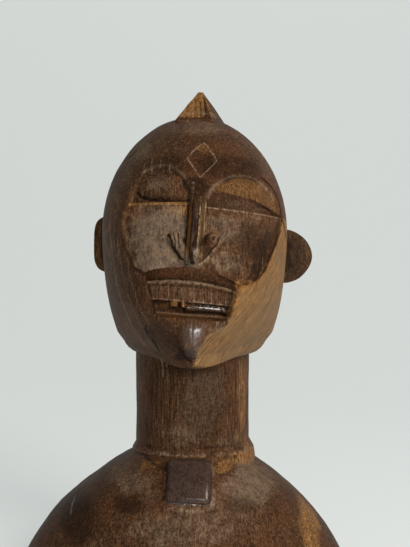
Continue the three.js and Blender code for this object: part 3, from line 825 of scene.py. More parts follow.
def crest():
    """The wedge on the crown, from a five-sided cone: its corners placed, its foot sunk, its edges worn."""
    bpy.ops.mesh.primitive_cone_add(vertices=5, radius1=1, radius2=0.2, depth=1)
    piece = named("crest")
    points = points_of(piece) * MM
    turns = np.round((np.arctan2(points[:, 0], points[:, 1]) / (2 * math.pi) * 5)).astype(int) % 5
    placed = []
    for (_, _, height), turn in zip(points, turns):
        corner = CREST_TURNS.index(turn)
        placed.append(CREST_FOOT[corner] if height < 0 else CREST_TOP[int(corner in (1, 2))])
    put_points(piece, placed)
    select_where(piece, lambda middle, normal: normal.z < -0.3)
    extrude(-CREST_SUNK * MM, (0.8, 0.7, 1))
    bpy.ops.mesh.select_all(action="SELECT")
    bpy.ops.mesh.remove_doubles(threshold=0.1 * MM)
    face_outwards()
    modify(piece, "worn edges", "BEVEL", width=CREST_EDGE * MM, segments=2, limit_method="ANGLE")
    return piece


def ear(name, x, y, z, radius, square):
    """A flat ear: a disc drawn in to a thinner rim, and squared off."""
    rim = {"radius": radius * MM, "depth": EAR_RIM_THICK * MM}
    bpy.ops.mesh.primitive_cylinder_add(vertices=128, end_fill_type="NGON", **rim)
    piece = named(name)
    for side in (1, -1):
        select_where(piece, lambda middle, normal, side=side: normal.z * side > 0.9)
        bpy.ops.mesh.inset(thickness=radius * 0.2 * MM, depth=(EAR_THICK - EAR_RIM_THICK) / 2 * MM)
        bpy.ops.mesh.inset(thickness=radius * 0.3 * MM, depth=-0.5 * MM)
        mode("OBJECT")
    px, pz, py = points_of(piece).T
    away = np.maximum(np.hypot(px, pz), 1e-6)
    grow = away / np.maximum(np.abs(px) ** square + np.abs(pz) ** square, 1e-9) ** (1 / square)
    put_points(piece, np.stack([x + px * grow, y - py, z + pz * grow], axis=1))
    return piece


def turned(name, profile, around, x):
    """A round shape turned on an upright axis: a disc that is extruded and sized ring by ring."""
    radius, level = profile[0]
    disc = {"radius": radius * MM, "location": (x * MM, 0, level * MM)}
    bpy.ops.mesh.primitive_circle_add(vertices=around, fill_type="NGON", **disc)
    piece = named(name)
    bpy.ops.object.transform_apply()
    edit_all()
    for (before, below), (after, above) in zip(profile, profile[1:]):
        extrude((above - below) * MM, (after / before, after / before, 1))
    face_outwards()
    return piece


def neck():
    """The neck, with the raised collar at its foot."""
    lip = COLLAR_RADIUS - NECK_RADIUS
    profile = [
        (NECK_RADIUS, 10),
        (COLLAR_RADIUS + 1, COLLAR_LEVEL - COLLAR_BAND),
        (COLLAR_RADIUS, COLLAR_LEVEL - 1.5),
        (NECK_RADIUS + lip * 0.75, COLLAR_LEVEL),
        (NECK_RADIUS + lip * 0.3, COLLAR_LEVEL + COLLAR_RISE * 0.4),
        (NECK_RADIUS - lip * 0.3, COLLAR_LEVEL + COLLAR_RISE),
    ]
    collar = turned("collar", profile, 160, COLLAR_X)
    column = turned("neck", [(NECK_RADIUS, 4), (NECK_RADIUS, JAW_LEVEL + 4)], 160, 0)
    return [collar, column]


def shoulders():
    """The shoulders as a dome, wide from side to side, cut flat below."""
    piece, unit = fine_sphere("shoulders", 110, 65, 1)
    share = np.arccos(np.clip(unit[:, 2], -1, 1)) / math.pi
    turn = np.arctan2(unit[:, 0], -unit[:, 1])
    down = clamp(share / DOME_SHARE)
    inwards = 1 - clamp((share - DOME_SHARE) / (1 - DOME_SHARE))
    z = lerp(SHOULDER_TOP, 0, down ** 1.6)
    height = clamp(1 - (SHOULDER_TOP - z) / SHOULDER_DROP)
    wide = (1 - height ** SIDE_ROUNDNESS) ** (1 / SIDE_ROUNDNESS) * inwards
    deep = (1 - height ** FRONT_ROUNDNESS) ** (1 / FRONT_ROUNDNESS) * inwards
    power = 2 / DOME_SQUARENESS
    x = SHOULDER_X + SHOULDER_HALF_WIDTH * wide * signed_power(np.sin(turn), power)
    x = x + LEFT_SLOPE * rising(z, 40, 70) * fading(x, -55, -25)
    y = -SHOULDER_HALF_DEPTH * deep * signed_power(np.cos(turn), power)
    put_points(piece, np.stack([x, y, z], axis=1))
    return piece


def pendant():
    """The square pendant, its edges rounded and its face a little crowned."""
    bpy.ops.mesh.primitive_cube_add(size=1)
    piece = named("pendant")
    side = PENDANT_SIDE * MM
    piece.scale = (side, side, PENDANT_THICK * MM)
    bpy.ops.object.transform_apply()
    edit_all()
    bpy.ops.mesh.bevel(offset=PENDANT_EDGE * MM, segments=4, affect="EDGES")
    bpy.ops.mesh.select_all(action="SELECT")
    bpy.ops.mesh.subdivide(number_cuts=3)
    mode("OBJECT")
    points = points_of(piece)
    from_middle = np.hypot(points[:, 0], points[:, 1]) / (PENDANT_SIDE / 2)
    points[:, 2] += np.where(points[:, 2] > 0, 0.8 * clamp(1 - from_middle ** 2), 0)
    roll, slope = math.radians(PENDANT_ROLL), math.pi / 2 - math.radians(PENDANT_SLOPE)
    turn = [[math.cos(roll), math.sin(roll), 0], [-math.sin(roll), math.cos(roll), 0], [0, 0, 1]]
    x, y, z = (points @ np.array(turn)).T
    cos, sin = math.cos(slope), math.sin(slope)
    put_points(piece, np.stack([x, y * cos - z * sin, y * sin + z * cos], axis=1) + PENDANT_MIDDLE)
    return piece


def one_block(pieces):
    """All the parts as one skin, as they are one block of wood."""
    alone(pieces[0])
    for piece in pieces[1:]:
        piece.select_set(True)
    bpy.ops.object.join()
    block = named("carved_bust")
    block.data.remesh_voxel_size = VOXEL * MM
    block.data.remesh_voxel_adaptivity = 0
    bpy.ops.object.voxel_remesh()
    modify(block, "hand finish", "SMOOTH", factor=0.5, iterations=2)
    return block


def thin_out(block):
    """Fewer faces where the surface is plain: first behind and below, then on the carved front."""
    _, y, z = points_of(block).T
    carved = (y < -18) & (z > 156) & (z < 300)
    for name, places in (("plain", ~carved), ("carved", carved)):
        block.vertex_groups.new(name=name).add(places.nonzero()[0].tolist(), 1, "REPLACE")
    before = 2 * int(carved.sum())
    for name, limit in (("plain", before + PLAIN_TRIANGLES), ("carved", CARVED_TRIANGLES + PLAIN_TRIANGLES)):
        triangles = sum(len(face.vertices) - 2 for face in block.data.polygons)
        modify(block, name, "DECIMATE", ratio=min(limit / triangles, 1), vertex_group=name)
    block.vertex_groups.clear()


def normals_of(piece):
    flat = np.empty(len(piece.data.vertices) * 3)
    piece.data.vertex_normals.foreach_get("vector", flat)
    return flat.reshape(-1, 3)


def lines(x, z, marks, softness=0.35):
    """How strongly a set of drawn lines marks each place seen from the front."""
    total = np.zeros(len(x))
    for half, strength, path in marks:
        low, high = np.min(path, axis=0) - half * 2, np.max(path, axis=0) + half * 2
        near = ((x > low[0]) & (x < high[0]) & (z > low[1]) & (z < high[1])).nonzero()[0]
        away, _ = from_line(from_front(x[near], z[near]), path)
        mark = strength * fading(away, half * (1 - softness), half * (1 + softness))
        total[near] = np.maximum(total[near], mark)
    return total


def patches(x, z, marks):
    """How strongly a set of soft patches marks each place seen from the front."""
    total = np.zeros(len(x))
    for across, up, half_width, half_height, strength in marks:
        away = np.hypot((x - across) / half_width, (z - up) / half_height)
        total = np.maximum(total, strength * fading(away, 0.45, 1.35))
    return total


def most(*values):
    """The largest of several values at each place."""
    return functools.reduce(np.maximum, values)


def hairline(points):
    """How strongly the lines beside the right eye mark each place."""
    x, z = np.array(spline(HAIRLINE)).T
    path = np.stack([x, head_front(x, z), z], axis=1)
    away, _ = from_line(points, path)
    side = 0.45 * fading(np.abs(away - HAIRLINE_GAP), 0.1, 0.5)
    return np.maximum(1.3 * fading(away, 0.9, 1.8), side)


def from_eye(eye, x, z):
    """1 within an eye's arc, 0 outside it."""
    _, above, arc = eye_frame(eye, x, z)
    return rising(arc, 0, 2) * rising(above, 0, 1)


def wavering(points, places, reach, length, seed):
    """Places seen from the front, moved about a little, so that what is drawn there wavers as by hand."""
    return [place + reach * lumps(points / length, seed + i) for i, place in enumerate(places)]


def parts_of_block(points):
    """Which places lie on the head, face, crest, ears, collar and pendant, from 0 to 1."""
    x, y, z = points.T
    radius = np.hypot(x, y)
    section = head_section(np.clip(z, JAW_LEVEL, CROWN_TOP - 0.1))
    over = np.hypot((x - HEAD_X) / HEAD_HALF_WIDTH, (y - HEAD_Y - CROWN_SET_BACK) / HEAD_FRONT)
    crown = WIDEST_LEVEL + (CROWN_TOP - WIDEST_LEVEL) * np.sqrt(clamp(1 - over ** 2))
    crest_part = rising(z - crown, 0.6, 2) * (z > 318) * rising(y, -30, -27)
    foot = (z > 320) * fading(z, 327.4, 328.4) * rising(z - crown, -0.5, 0.5)
    ear_part = rising(np.abs(x - HEAD_X) - section["half"], 0.2, 1.5) * (z > 205) * (z < 266)
    off_neck = rising(np.maximum(radius - 43, (z - 158) * 2), 0, 1)
    head_part = rising(z, 151, 153) * off_neck * (1 - crest_part)
    tipped = math.pi / 2 - math.radians(PENDANT_SLOPE)
    out = points - PENDANT_MIDDLE
    up_it = out[:, 1] * math.cos(tipped) + out[:, 2] * math.sin(tipped)
    off_it = -out[:, 1] * math.sin(tipped) + out[:, 2] * math.cos(tipped)
    edge = np.maximum(np.abs(out[:, 0]), np.abs(up_it)) - PENDANT_SIDE / 2
    return {
        "crest_foot": foot * (np.abs(x - 3) < 24) * (y < -8),
        "head": head_part * (1 - ear_part),
        "face": head_part * (1 - ear_part) * rising(-y, 4, 20),
        "crest": crest_part,
        "ears": ear_part,
        "collar": between(z, 78, 81, 94, 96) * rising(radius, 41, 43),
        "pendant": fading(edge, -0.2, 0.6) * rising(off_it, 1.5, 4) * (z < 95),
        "front": rising(-y, 2, 14),
    }


def weather(block):
    """Moves the skin by what the knife, use and age left on it."""
    points = points_of(block)
    x, _, z = points.T
    part = parts_of_block(points)
    broad = lumps(points / 19, 1)
    knife = lumps(points / (5, 5, 15), 2)
    rough = lumps(points / 2.1, 3)
    streak = lumps(points / (1.2, 1.2, 16), 4)
    left_lid = part["face"] * from_eye(LEFT_EYE, x, z)
    eyes = np.maximum(from_eye(LEFT_EYE, x, z), from_eye(RIGHT_EYE, x, z))
    soft = 1 - 0.6 * part["face"]
    lift = 0.45 * broad * soft + 0.2 * knife * soft + 0.05 * rough
    lift = lift - 0.18 * np.maximum(streak - 0.15, 0) * part["head"]
    lift = lift - 0.5 * np.maximum(lumps(points / (1.3, 1.3, 9), 5) - 0.05, 0) * left_lid
    lift = lift - 0.35 * np.maximum(lumps(points / 1.5, 6), 0) * part["face"] * eyes * (z < 262)
    hand = wavering(points, (x, z), *HAND_WAVER)
    cuts = lines(*hand, CRACKS, 0.8) * part["front"]
    lift = lift - 0.6 * cuts
    lift = lift - 0.4 * hairline(points) * part["head"]
    scratches = lines(x, z, SCRATCHES, 0.8) * part["front"]
    lift = lift - 0.12 * scratches
    lift = lift * rising(z, 0.2, 3)
    moved = points + normals_of(block) * lift[:, None]
    moved[:, 2] = np.where(points[:, 2] < 0.4, 0, np.maximum(moved[:, 2], 0))
    put_points(block, moved)


def worn_edges(block):
    """How far each place stands out from what is round it: edges above 0, hollows below."""
    points = points_of(block)
    ends = np.empty(len(block.data.edges) * 2, int)
    block.data.edges.foreach_get("vertices", ends)
    start, end = ends.reshape(-1, 2).T
    count = np.bincount(ends, minlength=len(points))
    ways = ((start, end), (end, start))
    smooth = points
    for _ in range(EDGE_ROUNDS):
        total = [sum(np.bincount(to, smooth[by, axis], len(points)) for to, by in ways) for axis in range(3)]
        smooth = np.stack(total, axis=1) / np.maximum(count, 1)[:, None]
    return np.sum((points - smooth) * normals_of(block), axis=1) / EDGE_REACH


class Surface:
    """The block's points, with everything that the paint is placed by."""

    def __init__(self, block):
        self.points = points_of(block)
        self.x, self.y, self.z = self.points.T
        x, z = self.x, self.z
        self.forward = -normals_of(block)[:, 1]
        self.part = parts_of_block(self.points)
        face = self.part["face"]
        self.behind = rising(self.y, -14, 10)
        self.hand = wavering(self.points, (x, z), *HAND_WAVER)
        self.soft = wavering(self.points, self.hand, *SOFT_WAVER)
        self.rim = inside(x, z, cheek_outline())
        self.row = mouth_share(x, z)
        self.walls = mouth_sides(x, self.row)
        self.mouth = rising(self.walls, -0.6, 0.4) * between(self.row, -0.03, 0.02, 0.98, 1.03) * face
        self.left_eye, self.right_eye = [eye_frame(eye, x, z) for eye in (LEFT_EYE, RIGHT_EYE)]
        over_lid = z - upper_lid_edge(x)
        self.right_lid = from_eye(RIGHT_EYE, x, z) * rising(over_lid, -0.2, 0.8) * face
        self.under_lid = from_eye(RIGHT_EYE, x, z) * fading(over_lid, -0.8, 0.2) * face
        self.chips = patches(x, z, CHIPS) * self.mouth
        self.cuts = self.drawn(BARE_LINES)
        self.hairline = hairline(self.points)
        self.jaw = self.rubbed_jaw()
        beside = np.minimum(self.hairline, 1) * self.part["head"]
        self.kept_dark = np.maximum(self.part["crest_foot"], 0.9 * np.maximum(self.under_lid, beside))

    def uneven(self, length, seed):
        return lumps(self.points / length, seed)

    def drawn(self, marks):
        return lines(*self.hand, marks) * self.part["front"]

    def spread(self, marks):
        return patches(*self.soft, marks) * self.part["front"]

    def rubbed_jaw(self):
        """Where the jaw is rubbed bare: sharp in front, with a broken edge where it turns to the side."""
        aside = rising(self.y, -42, -15)
        reach = 1.2 + 5 * aside + 1.8 * fading(self.z, 180, 192)
        jaw = rising(inside(self.x, self.z + aside * 8 * self.uneven(13, 31), BARE_JAW), -reach, reach)
        jaw = jaw * self.part["head"] * rising(-self.y + 14 * self.uneven(16, 32), -12, 24)
        return jaw * (1 - aside * rising(self.z + 16 * self.uneven(15, 33), 222, 258))

    def dust(self):
        """Grey dust: in patches, round the eyes, on the teeth, the right ear and the back."""
        x, row, part = self.x, self.row, self.part
        _, above, arc = self.left_eye
        left_rim = fading(np.abs(arc + 0.6), 0.3, 2.6) * (above > 1) * (x < 2) * rising(x, -42, -32)
        _, above, arc = self.right_eye
        right_rim = fading(np.abs(arc - 0.2), 0.3, 2.6) * (above > 6) * (x > 8) * fading(x, 50, 62)
        dust = most(self.spread(DUST), 0.62 * left_rim * part["face"], 0.68 * right_rim * part["face"])
        dust = dust * (1 - self.mouth) + 0.3 * self.mouth * (row > 0.22) * (row < 0.69)
        dust = dust + self.behind * (0.35 + 0.35 * self.uneven(30, 11))
        clean = 1 - most(part["crest"], part["ears"], part["pendant"])
        return dust * clean + 0.52 * part["ears"] * (x > 0)

    def light(self):
        """Fine pale lines, some of them painted highlights along the nostril bars and the pendant's right and
        lower edges, and the worn edge of the collar.
        """
        ring = fading(np.abs(self.hand[1] - COLLAR_LEVEL + 0.6), 0.2, 0.9) * self.part["collar"]
        return np.maximum(self.drawn(PALE_LINES_AND_HIGHLIGHTS + SCRATCHES), ring * (0.75 + 0.25 * self.uneven(9, 14)))

    def soot_and_shade(self):
        """Soot and painted shadow: in patches, lines, cracks and the mouth, under the right lid, on ears,
        pendant and back. Some lines are painted shadows, beside the nose and the pendant, under the right
        lid's edge and inside the right cheek's rim.
        """
        x, row, part = self.x, self.row, self.part
        soot_and_shade = most(self.spread(SOOT), self.drawn(DARK_LINES_AND_SHADOWS), self.drawn(CRACKS)) * (1 - 0.7 * self.jaw)
        slope = between(row, 0.02, 0.2, 0.225, 0.25) * fading(x, 20, 30)
        right = rising(x, 0, 8)
        wall = rising(self.walls, lerp(0.5, 2.5, right), lerp(3, 5.5, right)) * lerp(0.75, 1, right)
        low = between(row, 0.67, 0.685, 0.92, 0.95) * wall
        soot_and_shade = np.maximum(soot_and_shade, self.mouth * np.maximum(0.5 * slope, 0.8 * low)) * (1 - self.chips)
        soot_and_shade = most(soot_and_shade, 0.6 * self.under_lid, self.hairline * part["head"])
        soot_and_shade = soot_and_shade + self.behind * np.maximum(0.25 + 0.35 * self.uneven(24, 12), 0)
        soot_and_shade = soot_and_shade * (1 - 0.9 * part["crest"]) + CREST_SOOT * lines(x, self.z, CRACKS) * part["crest"]
        soot_and_shade = most(soot_and_shade, part["ears"] * np.where(x > 0, 0.72, 0.5), 0.6 * part["pendant"])
        return soot_and_shade * (1 - np.minimum(self.cuts, 1))

    def bare(self):
        """Bare wood: in patches, cuts and chips, on edges round eyes, cheeks and mouth, on jaw and crest."""
        x, z, part = self.x, self.z, self.part
        _, above, _ = self.left_eye
        ledge = (above < 0.3) & (above > -1.7) & (x > -41.5) & (x < -0.5)
        cheek_rim = between(self.rim, -2.4, -1.2, -0.5, 0.6) * rising(x, 32, 38) * fading(z, 248, 256)
        low_lip = 0.5 * self.mouth * rising(self.row, 0.96, 0.98)
        lit_side = rising(self.forward, 0.5, 0.62) * fading(x, 7, 10.6) * rising(z, 328, 329.5)
        bare = most(
            np.maximum(self.spread(BARE), self.chips) * (1 - part["ears"]), self.cuts, low_lip,
            0.85 * ledge * part["face"], 0.85 * cheek_rim * part["face"], 0.25 * self.jaw,
            part["crest"] * np.maximum(lit_side, 0.25),
        )
        bare = bare + self.behind * np.maximum(0.1 + 0.5 * self.uneven(28, 13), 0) * (1 - part["ears"])
        return bare * (1 - self.kept_dark)

    def gloss(self):
        """Oil that shines: in patches, and on the lower lip."""
        lip = between(self.row, 0.69, 0.71, 0.83, 0.86) * rising(self.x, -5, -2) * self.mouth
        return np.maximum(patches(self.x, self.z, GLOSS) * self.part["front"], 0.95 * lip)

    def leaning_grain(self):
        """Places on the unrolled head, turned so that the grain leans."""
        turn = np.arctan2(self.x - HEAD_X, HEAD_Y - self.y) * HEAD_HALF_WIDTH
        across = turn * math.cos(GRAIN_LEAN) - self.z * math.sin(GRAIN_LEAN)
        along = turn * math.sin(GRAIN_LEAN) + self.z * math.cos(GRAIN_LEAN)
        return np.stack([across, 0 * across, along], axis=1)


def paint(block, edge):
    """Writes where dust, bare wood and gloss lie, for the material to read. Soot goes with painted shadows,
    and pale lines with painted highlights.
    """
    at = Surface(block)
    x, y, z, face = at.x, at.y, at.z, at.part["face"]
    across_nose = x - nose_middle(z)[0]
    nose = between(z, 224, 230, 258, 268) * (np.abs(across_nose) < 6.2) * (y < -60)
    on_eyelid = (y < 0) & (x > 8.5) & (x < 60.5)
    values = {
        "dust": at.dust(), "light": at.light(), "soot_and_shade": at.soot_and_shade(), "bare": at.bare(), "gloss": at.gloss(),
        "slant": at.jaw, "edge": edge * (1 - at.kept_dark), "stone": at.part["pendant"],
        "mouth": at.mouth, "mouth_row": at.row, "tooth": tooth_number(x, z),
        "nose": nose, "across_nose": across_nose,
        "cheek": rising(at.rim, -1, 4) * (1 - at.mouth) * (1 - nose) * face,
        "lozenge": np.where(y < 0, lozenge_share(x, z), NOWHERE),
        "lid_line": np.where(on_eyelid, at.right_eye[1], NOWHERE),
        "lid": at.right_lid, "left_lid": from_eye(LEFT_EYE, x, z) * face,
    }
    for name, value in values.items():
        layer = block.data.attributes.new(name, "FLOAT", "POINT")
        layer.data.foreach_set("value", np.nan_to_num(np.clip(value, -LARGEST, LARGEST)).astype(np.float32))
    grain = block.data.attributes.new("leaning_grain", "FLOAT_VECTOR", "POINT")
    grain.data.foreach_set("vector", (at.leaning_grain() * MM).astype(np.float32).ravel())


class Value:
    """A number from one of the material's sockets, for Python's operators."""

    def __init__(self, finish, socket):
        self.finish = finish
        self.socket = socket

    def maths(self, operation, *values):
        return self.finish.node("Math", {"operation": operation}, dict(enumerate(values)))

    def __add__(self, other):
        return self.maths("ADD", self, other)

    def __sub__(self, other):
        return self.maths("SUBTRACT", self, other)

    def __rsub__(self, other):
        return self.maths("SUBTRACT", other, self)

    def __mul__(self, other):
        return self.maths("MULTIPLY", self, other)

    __radd__ = __add__
    __rmul__ = __mul__

    def __abs__(self):
        return self.maths("ABSOLUTE", self)

    def __round__(self):
        return self.maths("ROUND", self)

    def most(self, other):
        """The larger of this value and another."""
        return self.maths("MAXIMUM", self, other)

    def step(self, low, high):
        """A soft step from 0 at low to 1 at high, or down where low is above high."""
        inputs = {"Value": self, "From Min": low, "From Max": high}
        return self.finish.node("MapRange", {"interpolation_type": "SMOOTHSTEP"}, inputs)

    def line(self, at, half):
        """1 along a line of a given half width, where the value is at its place."""
        return abs(self - at).step(half * 1.35, half * 0.65)


class Finish:
    """One material, built node by node."""

    def __init__(self, name):
        self.material = bpy.data.materials.new(name)
        self.material.use_nodes = True
        self.tree = self.material.node_tree
        self.inputs = self.tree.nodes["Principled BSDF"].inputs

    def put(self, socket, value):
        if isinstance(value, Value):
            self.tree.links.new(value.socket, socket)
        else:
            socket.default_value = value

    def surface(self, values):
        """Sets the surface's own inputs, by name."""
        for name, value in values.items():
            self.put(self.inputs[name], value)

    def node(self, kind, settings, inputs, output=0):
        made = self.tree.nodes.new("ShaderNode" + kind)
        for name, value in settings.items():
            setattr(made, name, value)
        for key, value in inputs.items():
            self.put(made.inputs[key], value)
        return Value(self, made.outputs[output])

    def attribute(self, name, output="Fac"):
        return self.node("Attribute", {"attribute_name": name}, {}, output)

    def noise(self, place, cells, detail, roughness=0.6):
        """Noise with so many cells to the metre along each axis."""
        scaled = self.node("VectorMath", {"operation": "MULTIPLY"}, {0: place, 1: cells})
        inputs = {"Vector": scaled, "Scale": 1, "Detail": detail, "Roughness": roughness}
        return self.node("TexNoise", {}, inputs)

    def mix(self, share, below, above, blend_type="MIX"):
        settings = {"data_type": "RGBA", "blend_type": blend_type}
        return self.node("Mix", settings, {0: share, 6: below, 7: above}, 2)

    def over(self, colour, *layers):
        """A colour with others laid over it in turn, each by its share."""
        for share, tone in layers:
            colour = self.mix(share, colour, tone)
        return colour


class AgedWood(Finish):
    """Dark oiled wood: upright grain, dust on the broad faces, bare worn edges. Soot and painted shade darken
    the hollows, and painted shadows and highlights lie along some lines.
    """

    def __init__(self):
        super().__init__("aged_wood")
        self.slant, self.bare, self.light, self.edge, self.stone, self.mouth = [
            self.attribute(name) for name in ("slant", "bare", "light", "edge", "stone", "mouth")
        ]
        place = self.node("TexCoord", {}, {}, "Object")
        ways = {0: self.slant.step(0.4, 0.6), 4: place, 5: self.attribute("leaning_grain", "Vector")}
        along = self.node("Mix", {"data_type": "VECTOR"}, ways, 1)
        self.mottle = self.noise(place, (190, 190, 150), 6, 0.7)
        self.speckle = self.noise(place, (650, 650, 520), 3, 0.7)
        self.blotch = self.noise(place, (42, 42, 30), 4)
        self.specks = self.noise(place, (1000, 1000, 800), 2, 0.7).step(0.54, 0.68)
        self.lid_marks = self.noise(place, (950, 950, 110), 2, 0.7).step(0.54, 0.68)
        self.fine = self.noise(along, (1700, 1700, 150), 2)
        self.bands = self.noise(along, (270, 270, 20), 3)
        self.scratches = self.noise(along, (1500, 1500, 70), 1).step(0.64, 0.74)
        streaks = self.noise(along, (760, 760, 50), 4, 0.7)
        grainless = self.attribute("cheek") * 0.65
        self.streaks = streaks + (self.mottle - streaks) * grainless
        self.grain_height = self.streaks * 0.4 * (1 - grainless)
        self.pores = self.noise(along, (2400, 2400, 260), 1).step(0.36, 0.26) * (1 - grainless)

        rows, tooth = self.attribute("mouth_row"), self.attribute("tooth")
        teeth = rows.step(TEETH_TOP - 0.01, TEETH_TOP + 0.01) * rows.step(TEETH_LOW + 0.01, TEETH_LOW - 0.01)
        self.cuts = abs(tooth - round(tooth)).step(0.1, 0.04) * teeth * self.mouth
        self.top_row = rows.line(TEETH_TOP, 0.016) * self.mouth
        low_rows = rows.line(TEETH_LOW, 0.013) * 0.5 + rows.line(0.97, 0.018) * 0.4
        self.pale_rows = (rows.line(0.252, 0.024) * 0.8 + low_rows) * self.mouth
        self.lozenge = self.attribute("lozenge").line(1, 0.062)

        uneven, streaky = self.mottle - 0.5, self.streaks - 0.5
        dusty = self.attribute("dust") + uneven * 1.2 + (self.blotch - 0.5) * 0.5 + (self.speckle - 0.5) * 0.7
        self.dusty = (dusty + streaky * 0.3).step(0.15, 1.05) * 0.88
        # Hollows are darkened by Soot that gathers there and by painted shade; the dark lines bring painted
        # shadows too
        hollow_soot_and_shade = self.edge.step(-0.2, -1) * (1 - self.bare.step(0.4, 0.9))
        soot_and_shade_cover = self.attribute("soot_and_shade") + hollow_soot_and_shade * 0.5 + uneven * 0.8 + streaky * 0.5
        self.soot_and_shade_cover = soot_and_shade_cover.step(0.3, 0.95) * 0.93
        self.gloss = self.attribute("gloss") * (self.speckle + self.mottle).step(0.5, 0.88)

    def clean_wood(self):
        """The wood itself, paler where the jaw is rubbed and where edges are worn bare."""
        streaks, fine, mottle, blotch, bands = self.streaks, self.fine, self.mottle, self.blotch, self.bands
        rubbed = streaks.step(0.36, 0.64) * 0.4 + bands.step(0.34, 0.66) * 0.3 + fine.step(0.4, 0.6) * 0.3
        rubbed = self.mix(rubbed, RUBBED_DEEP, RUBBED_PALE)
        rubbed = self.mix((bands + blotch - 0.5).step(0.48, 0.72) * 0.4, rubbed, BARE_DEEP)
        bare_wood = self.mix(fine.step(0.35, 0.62), BARE_DEEP, BARE_PALE)
        bare_wood = self.mix(streaks.step(0.62, 0.42) * 0.5, bare_wood, BARE_SHADE)
        worn = self.bare * 1.1 + self.edge.step(0.25, 1) * 0.55 + (streaks - 0.5) * 0.6 + (mottle - 0.5) * 0.5
        return self.over(
            self.mix(streaks.step(0.36, 0.66), DEEP_WOOD, MIDDLE_WOOD),
            (blotch.step(0.42, 0.64) * 0.45, RED_WOOD),
            ((self.slant + (mottle - 0.5) * 0.9).step(0.25, 0.6) * 0.9, rubbed),
            (worn.step(0.2, 1) * 0.95, bare_wood),
        )

    def nose_layers(self):
        """Broad stripes of colour down the nose, its dark cuts, and pale lines beside them that are painted
        highlights along the nose's edges.
        """
        nose, across = self.attribute("nose"), self.attribute("across_nose")
        cuts = across.line(-6, 0.6) + across.line(-3, 0.45) + across.line(1.1, 0.4)
        cuts = cuts + across.line(4.4, 0.4) * 0.6
        ridge_highlights = across.line(2, 0.35) * 0.8 + across.line(5.4, 0.35) * 0.5
        return [
            *((nose * across.line(at, half) * 0.75, tone) for at, half, tone in NOSE_STRIPES),
            (nose * cuts * 0.85, SOOT_AND_SHADE_WOOD),
            (nose * ridge_highlights * self.fine.step(0.38, 0.55), PALE_LINE),
        ]

    def colour(self):
        """Everything that lies on the wood, laid over it in turn."""
        streaks, fine, mottle, speckle = self.streaks, self.fine, self.mottle, self.speckle
        # A pale line along the right eye's flat edge: a painted highlight on the cheek's top edge
        lid_line = self.attribute("lid_line").line(-0.2, 0.45)
        pale = self.cuts * 0.4 + self.pale_rows + self.lozenge * 0.55 + lid_line * 0.6 + self.light * 0.75
        pale = pale * (speckle + fine + mottle - 1.1).step(0.1, 0.55)
        stone_tone = streaks.step(0.35, 0.65) * 0.7 + mottle.step(0.4, 0.6) * 0.3
        flecks = self.specks * (1 - self.dusty) * (1 - self.soot_and_shade_cover * 0.8) * (1 - self.stone)
        colour = self.over(
            self.clean_wood(),
            (self.dusty, self.mix(mottle.step(0.4, 0.65), DUST_COOL, DUST_WARM)),
            *self.nose_layers(),
            (self.attribute("lid") * 0.7, self.mix(streaks.step(0.36, 0.62), LID_DEEP, LID_PALE)),
            (self.lid_marks * self.attribute("left_lid") * 0.5, DUST_WARM),
            (self.soot_and_shade_cover, SOOT_AND_SHADE_WOOD),
            (self.top_row * 0.6, SOOT_AND_SHADE_WOOD),
            (pale * 0.85, PALE_LINE),
            (self.stone * (1 - self.light * 0.8) * 0.85, self.mix(stone_tone, STONE_DEEP, STONE_PALE)),
            (flecks * 0.45, FLECK),
        )
        even = (self.slant * 0.75).most(self.dusty * 0.5).most(self.stone * 0.7)
        grit = (speckle * 0.5 + fine * 0.5).step(0.36, 0.64) * (1 - even) + even * 0.5
        colour = self.mix(1, colour, grit + 0.54, "MULTIPLY")
        return self.over(
            colour,
            (self.scratches * self.blotch.step(0.4, 0.6) * 0.3, PALE_LINE),
            (self.pores * (1 - even) * 0.5, SOOT_AND_SHADE_WOOD),
        )

    def height(self):
        """The fine relief: grain, grit and pores, with the teeth's cuts and the lozenge's line."""
        height = self.grain_height + self.fine * 0.16 + self.speckle * 0.34 + self.mottle * 0.4
        height = height - self.pores * 0.15 - self.cuts * 0.35 - self.top_row * 0.3 - self.lozenge * 0.2
        return height * (1 - self.gloss * 0.8)


def aged_wood():
    wood = AgedWood()
    rough = 0.55 + wood.dusty * 0.3 + (wood.speckle - 0.5) * 0.3 - wood.gloss * 0.3
    relief = {"Strength": 0.85, "Distance": MM, "Height": wood.height()}
    wood.surface({
        "Base Color": wood.colour(),
        "Roughness": rough.most(0.2),
        "Normal": wood.node("Bump", {}, relief),
        "Coat Weight": wood.gloss,
        "Coat Roughness": 0.19,
        "Specular IOR Level": 0.1,
        "Specular Tint": SHEEN,
    })
    return wood.material


def dress(piece, material):
    piece.data.materials.clear()
    piece.data.materials.append(material)


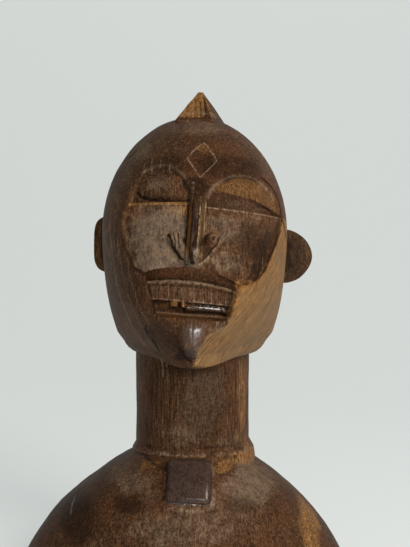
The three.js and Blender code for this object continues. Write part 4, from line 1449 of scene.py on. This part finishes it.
def pale_floor():
    """A pale floor that curves up, far behind the carving."""
    bpy.ops.mesh.primitive_plane_add(size=1)
    sweep = named("pale_sweep")
    sweep.scale = FLOOR_SIZE
    sweep.location = FLOOR_PLACE
    bpy.ops.object.transform_apply()
    mode("EDIT")
    bpy.ops.mesh.select_mode(type="EDGE")
    bpy.ops.mesh.select_all(action="DESELECT")
    mode("OBJECT")
    for side in sweep.data.edges:
        side.select = all(sweep.data.vertices[end].co.y > 0 for end in side.vertices)
    mode("EDIT")
    extrude(WALL_HEIGHT)
    mode("OBJECT")
    modify(sweep, "curve", "BEVEL", width=WALL_CURVE, segments=24)
    bpy.ops.object.shade_smooth()
    paper = Finish("pale_paper")
    paper.surface({"Base Color": (*FLOOR_TONE, 1), "Roughness": 0.9})
    paper.surface({"Emission Color": (*FLOOR_TONE, 1), "Emission Strength": FLOOR_GLOW})
    dress(sweep, paper.material)
    sweep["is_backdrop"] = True


def camera():
    """The photograph's view: level, a little to the right of the neck's axis."""
    place = [value * MM for value in VIEW_FROM]
    bpy.ops.object.camera_add(location=place, rotation=(math.pi / 2, 0, 0))
    view = bpy.context.active_object
    view.name = "photograph_view"
    view.data.lens = LENS
    view.data.sensor_width = SENSOR_WIDTH
    bpy.context.scene.camera = view


def lamp(name, place, target, size, power, tone):
    bpy.ops.object.light_add(type="AREA", location=place)
    light = bpy.context.active_object
    light.name = name
    light.data.size = size
    light.data.energy = power
    light.data.color = tone
    light.rotation_mode = "QUATERNION"
    light.rotation_quaternion = (Vector(target) - Vector(place)).to_track_quat("-Z", "Y")


def studio():
    """A dim warm world, a window high on the right and a small card low in front."""
    world = bpy.data.worlds.new("studio")
    bpy.context.scene.world = world
    world.use_nodes = True
    sky = world.node_tree.nodes["Background"].inputs
    sky["Color"].default_value = (*WORLD_TONE, 1)
    sky["Strength"].default_value = WORLD_STRENGTH
    lamp("window", *WINDOW)
    lamp("low_card", *LOW_CARD)
    bpy.context.scene.view_settings.view_transform = "Standard"


camera()
studio()
pale_floor()
pieces = [head_blank(), crest(), ear("right_ear", **RIGHT_EAR), ear("left_ear", **LEFT_EAR)]
pieces += [*neck(), shoulders(), pendant()]
bust = one_block(pieces)
weather(bust)
thin_out(bust)
paint(bust, worn_edges(bust))
alone(bust)
bpy.ops.object.shade_smooth()
dress(bust, aged_wood())
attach(bust, "root")
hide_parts(NODE)

{"cad": [list(cad_low), list(cad_high)], "visual": [list(corner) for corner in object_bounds()]}
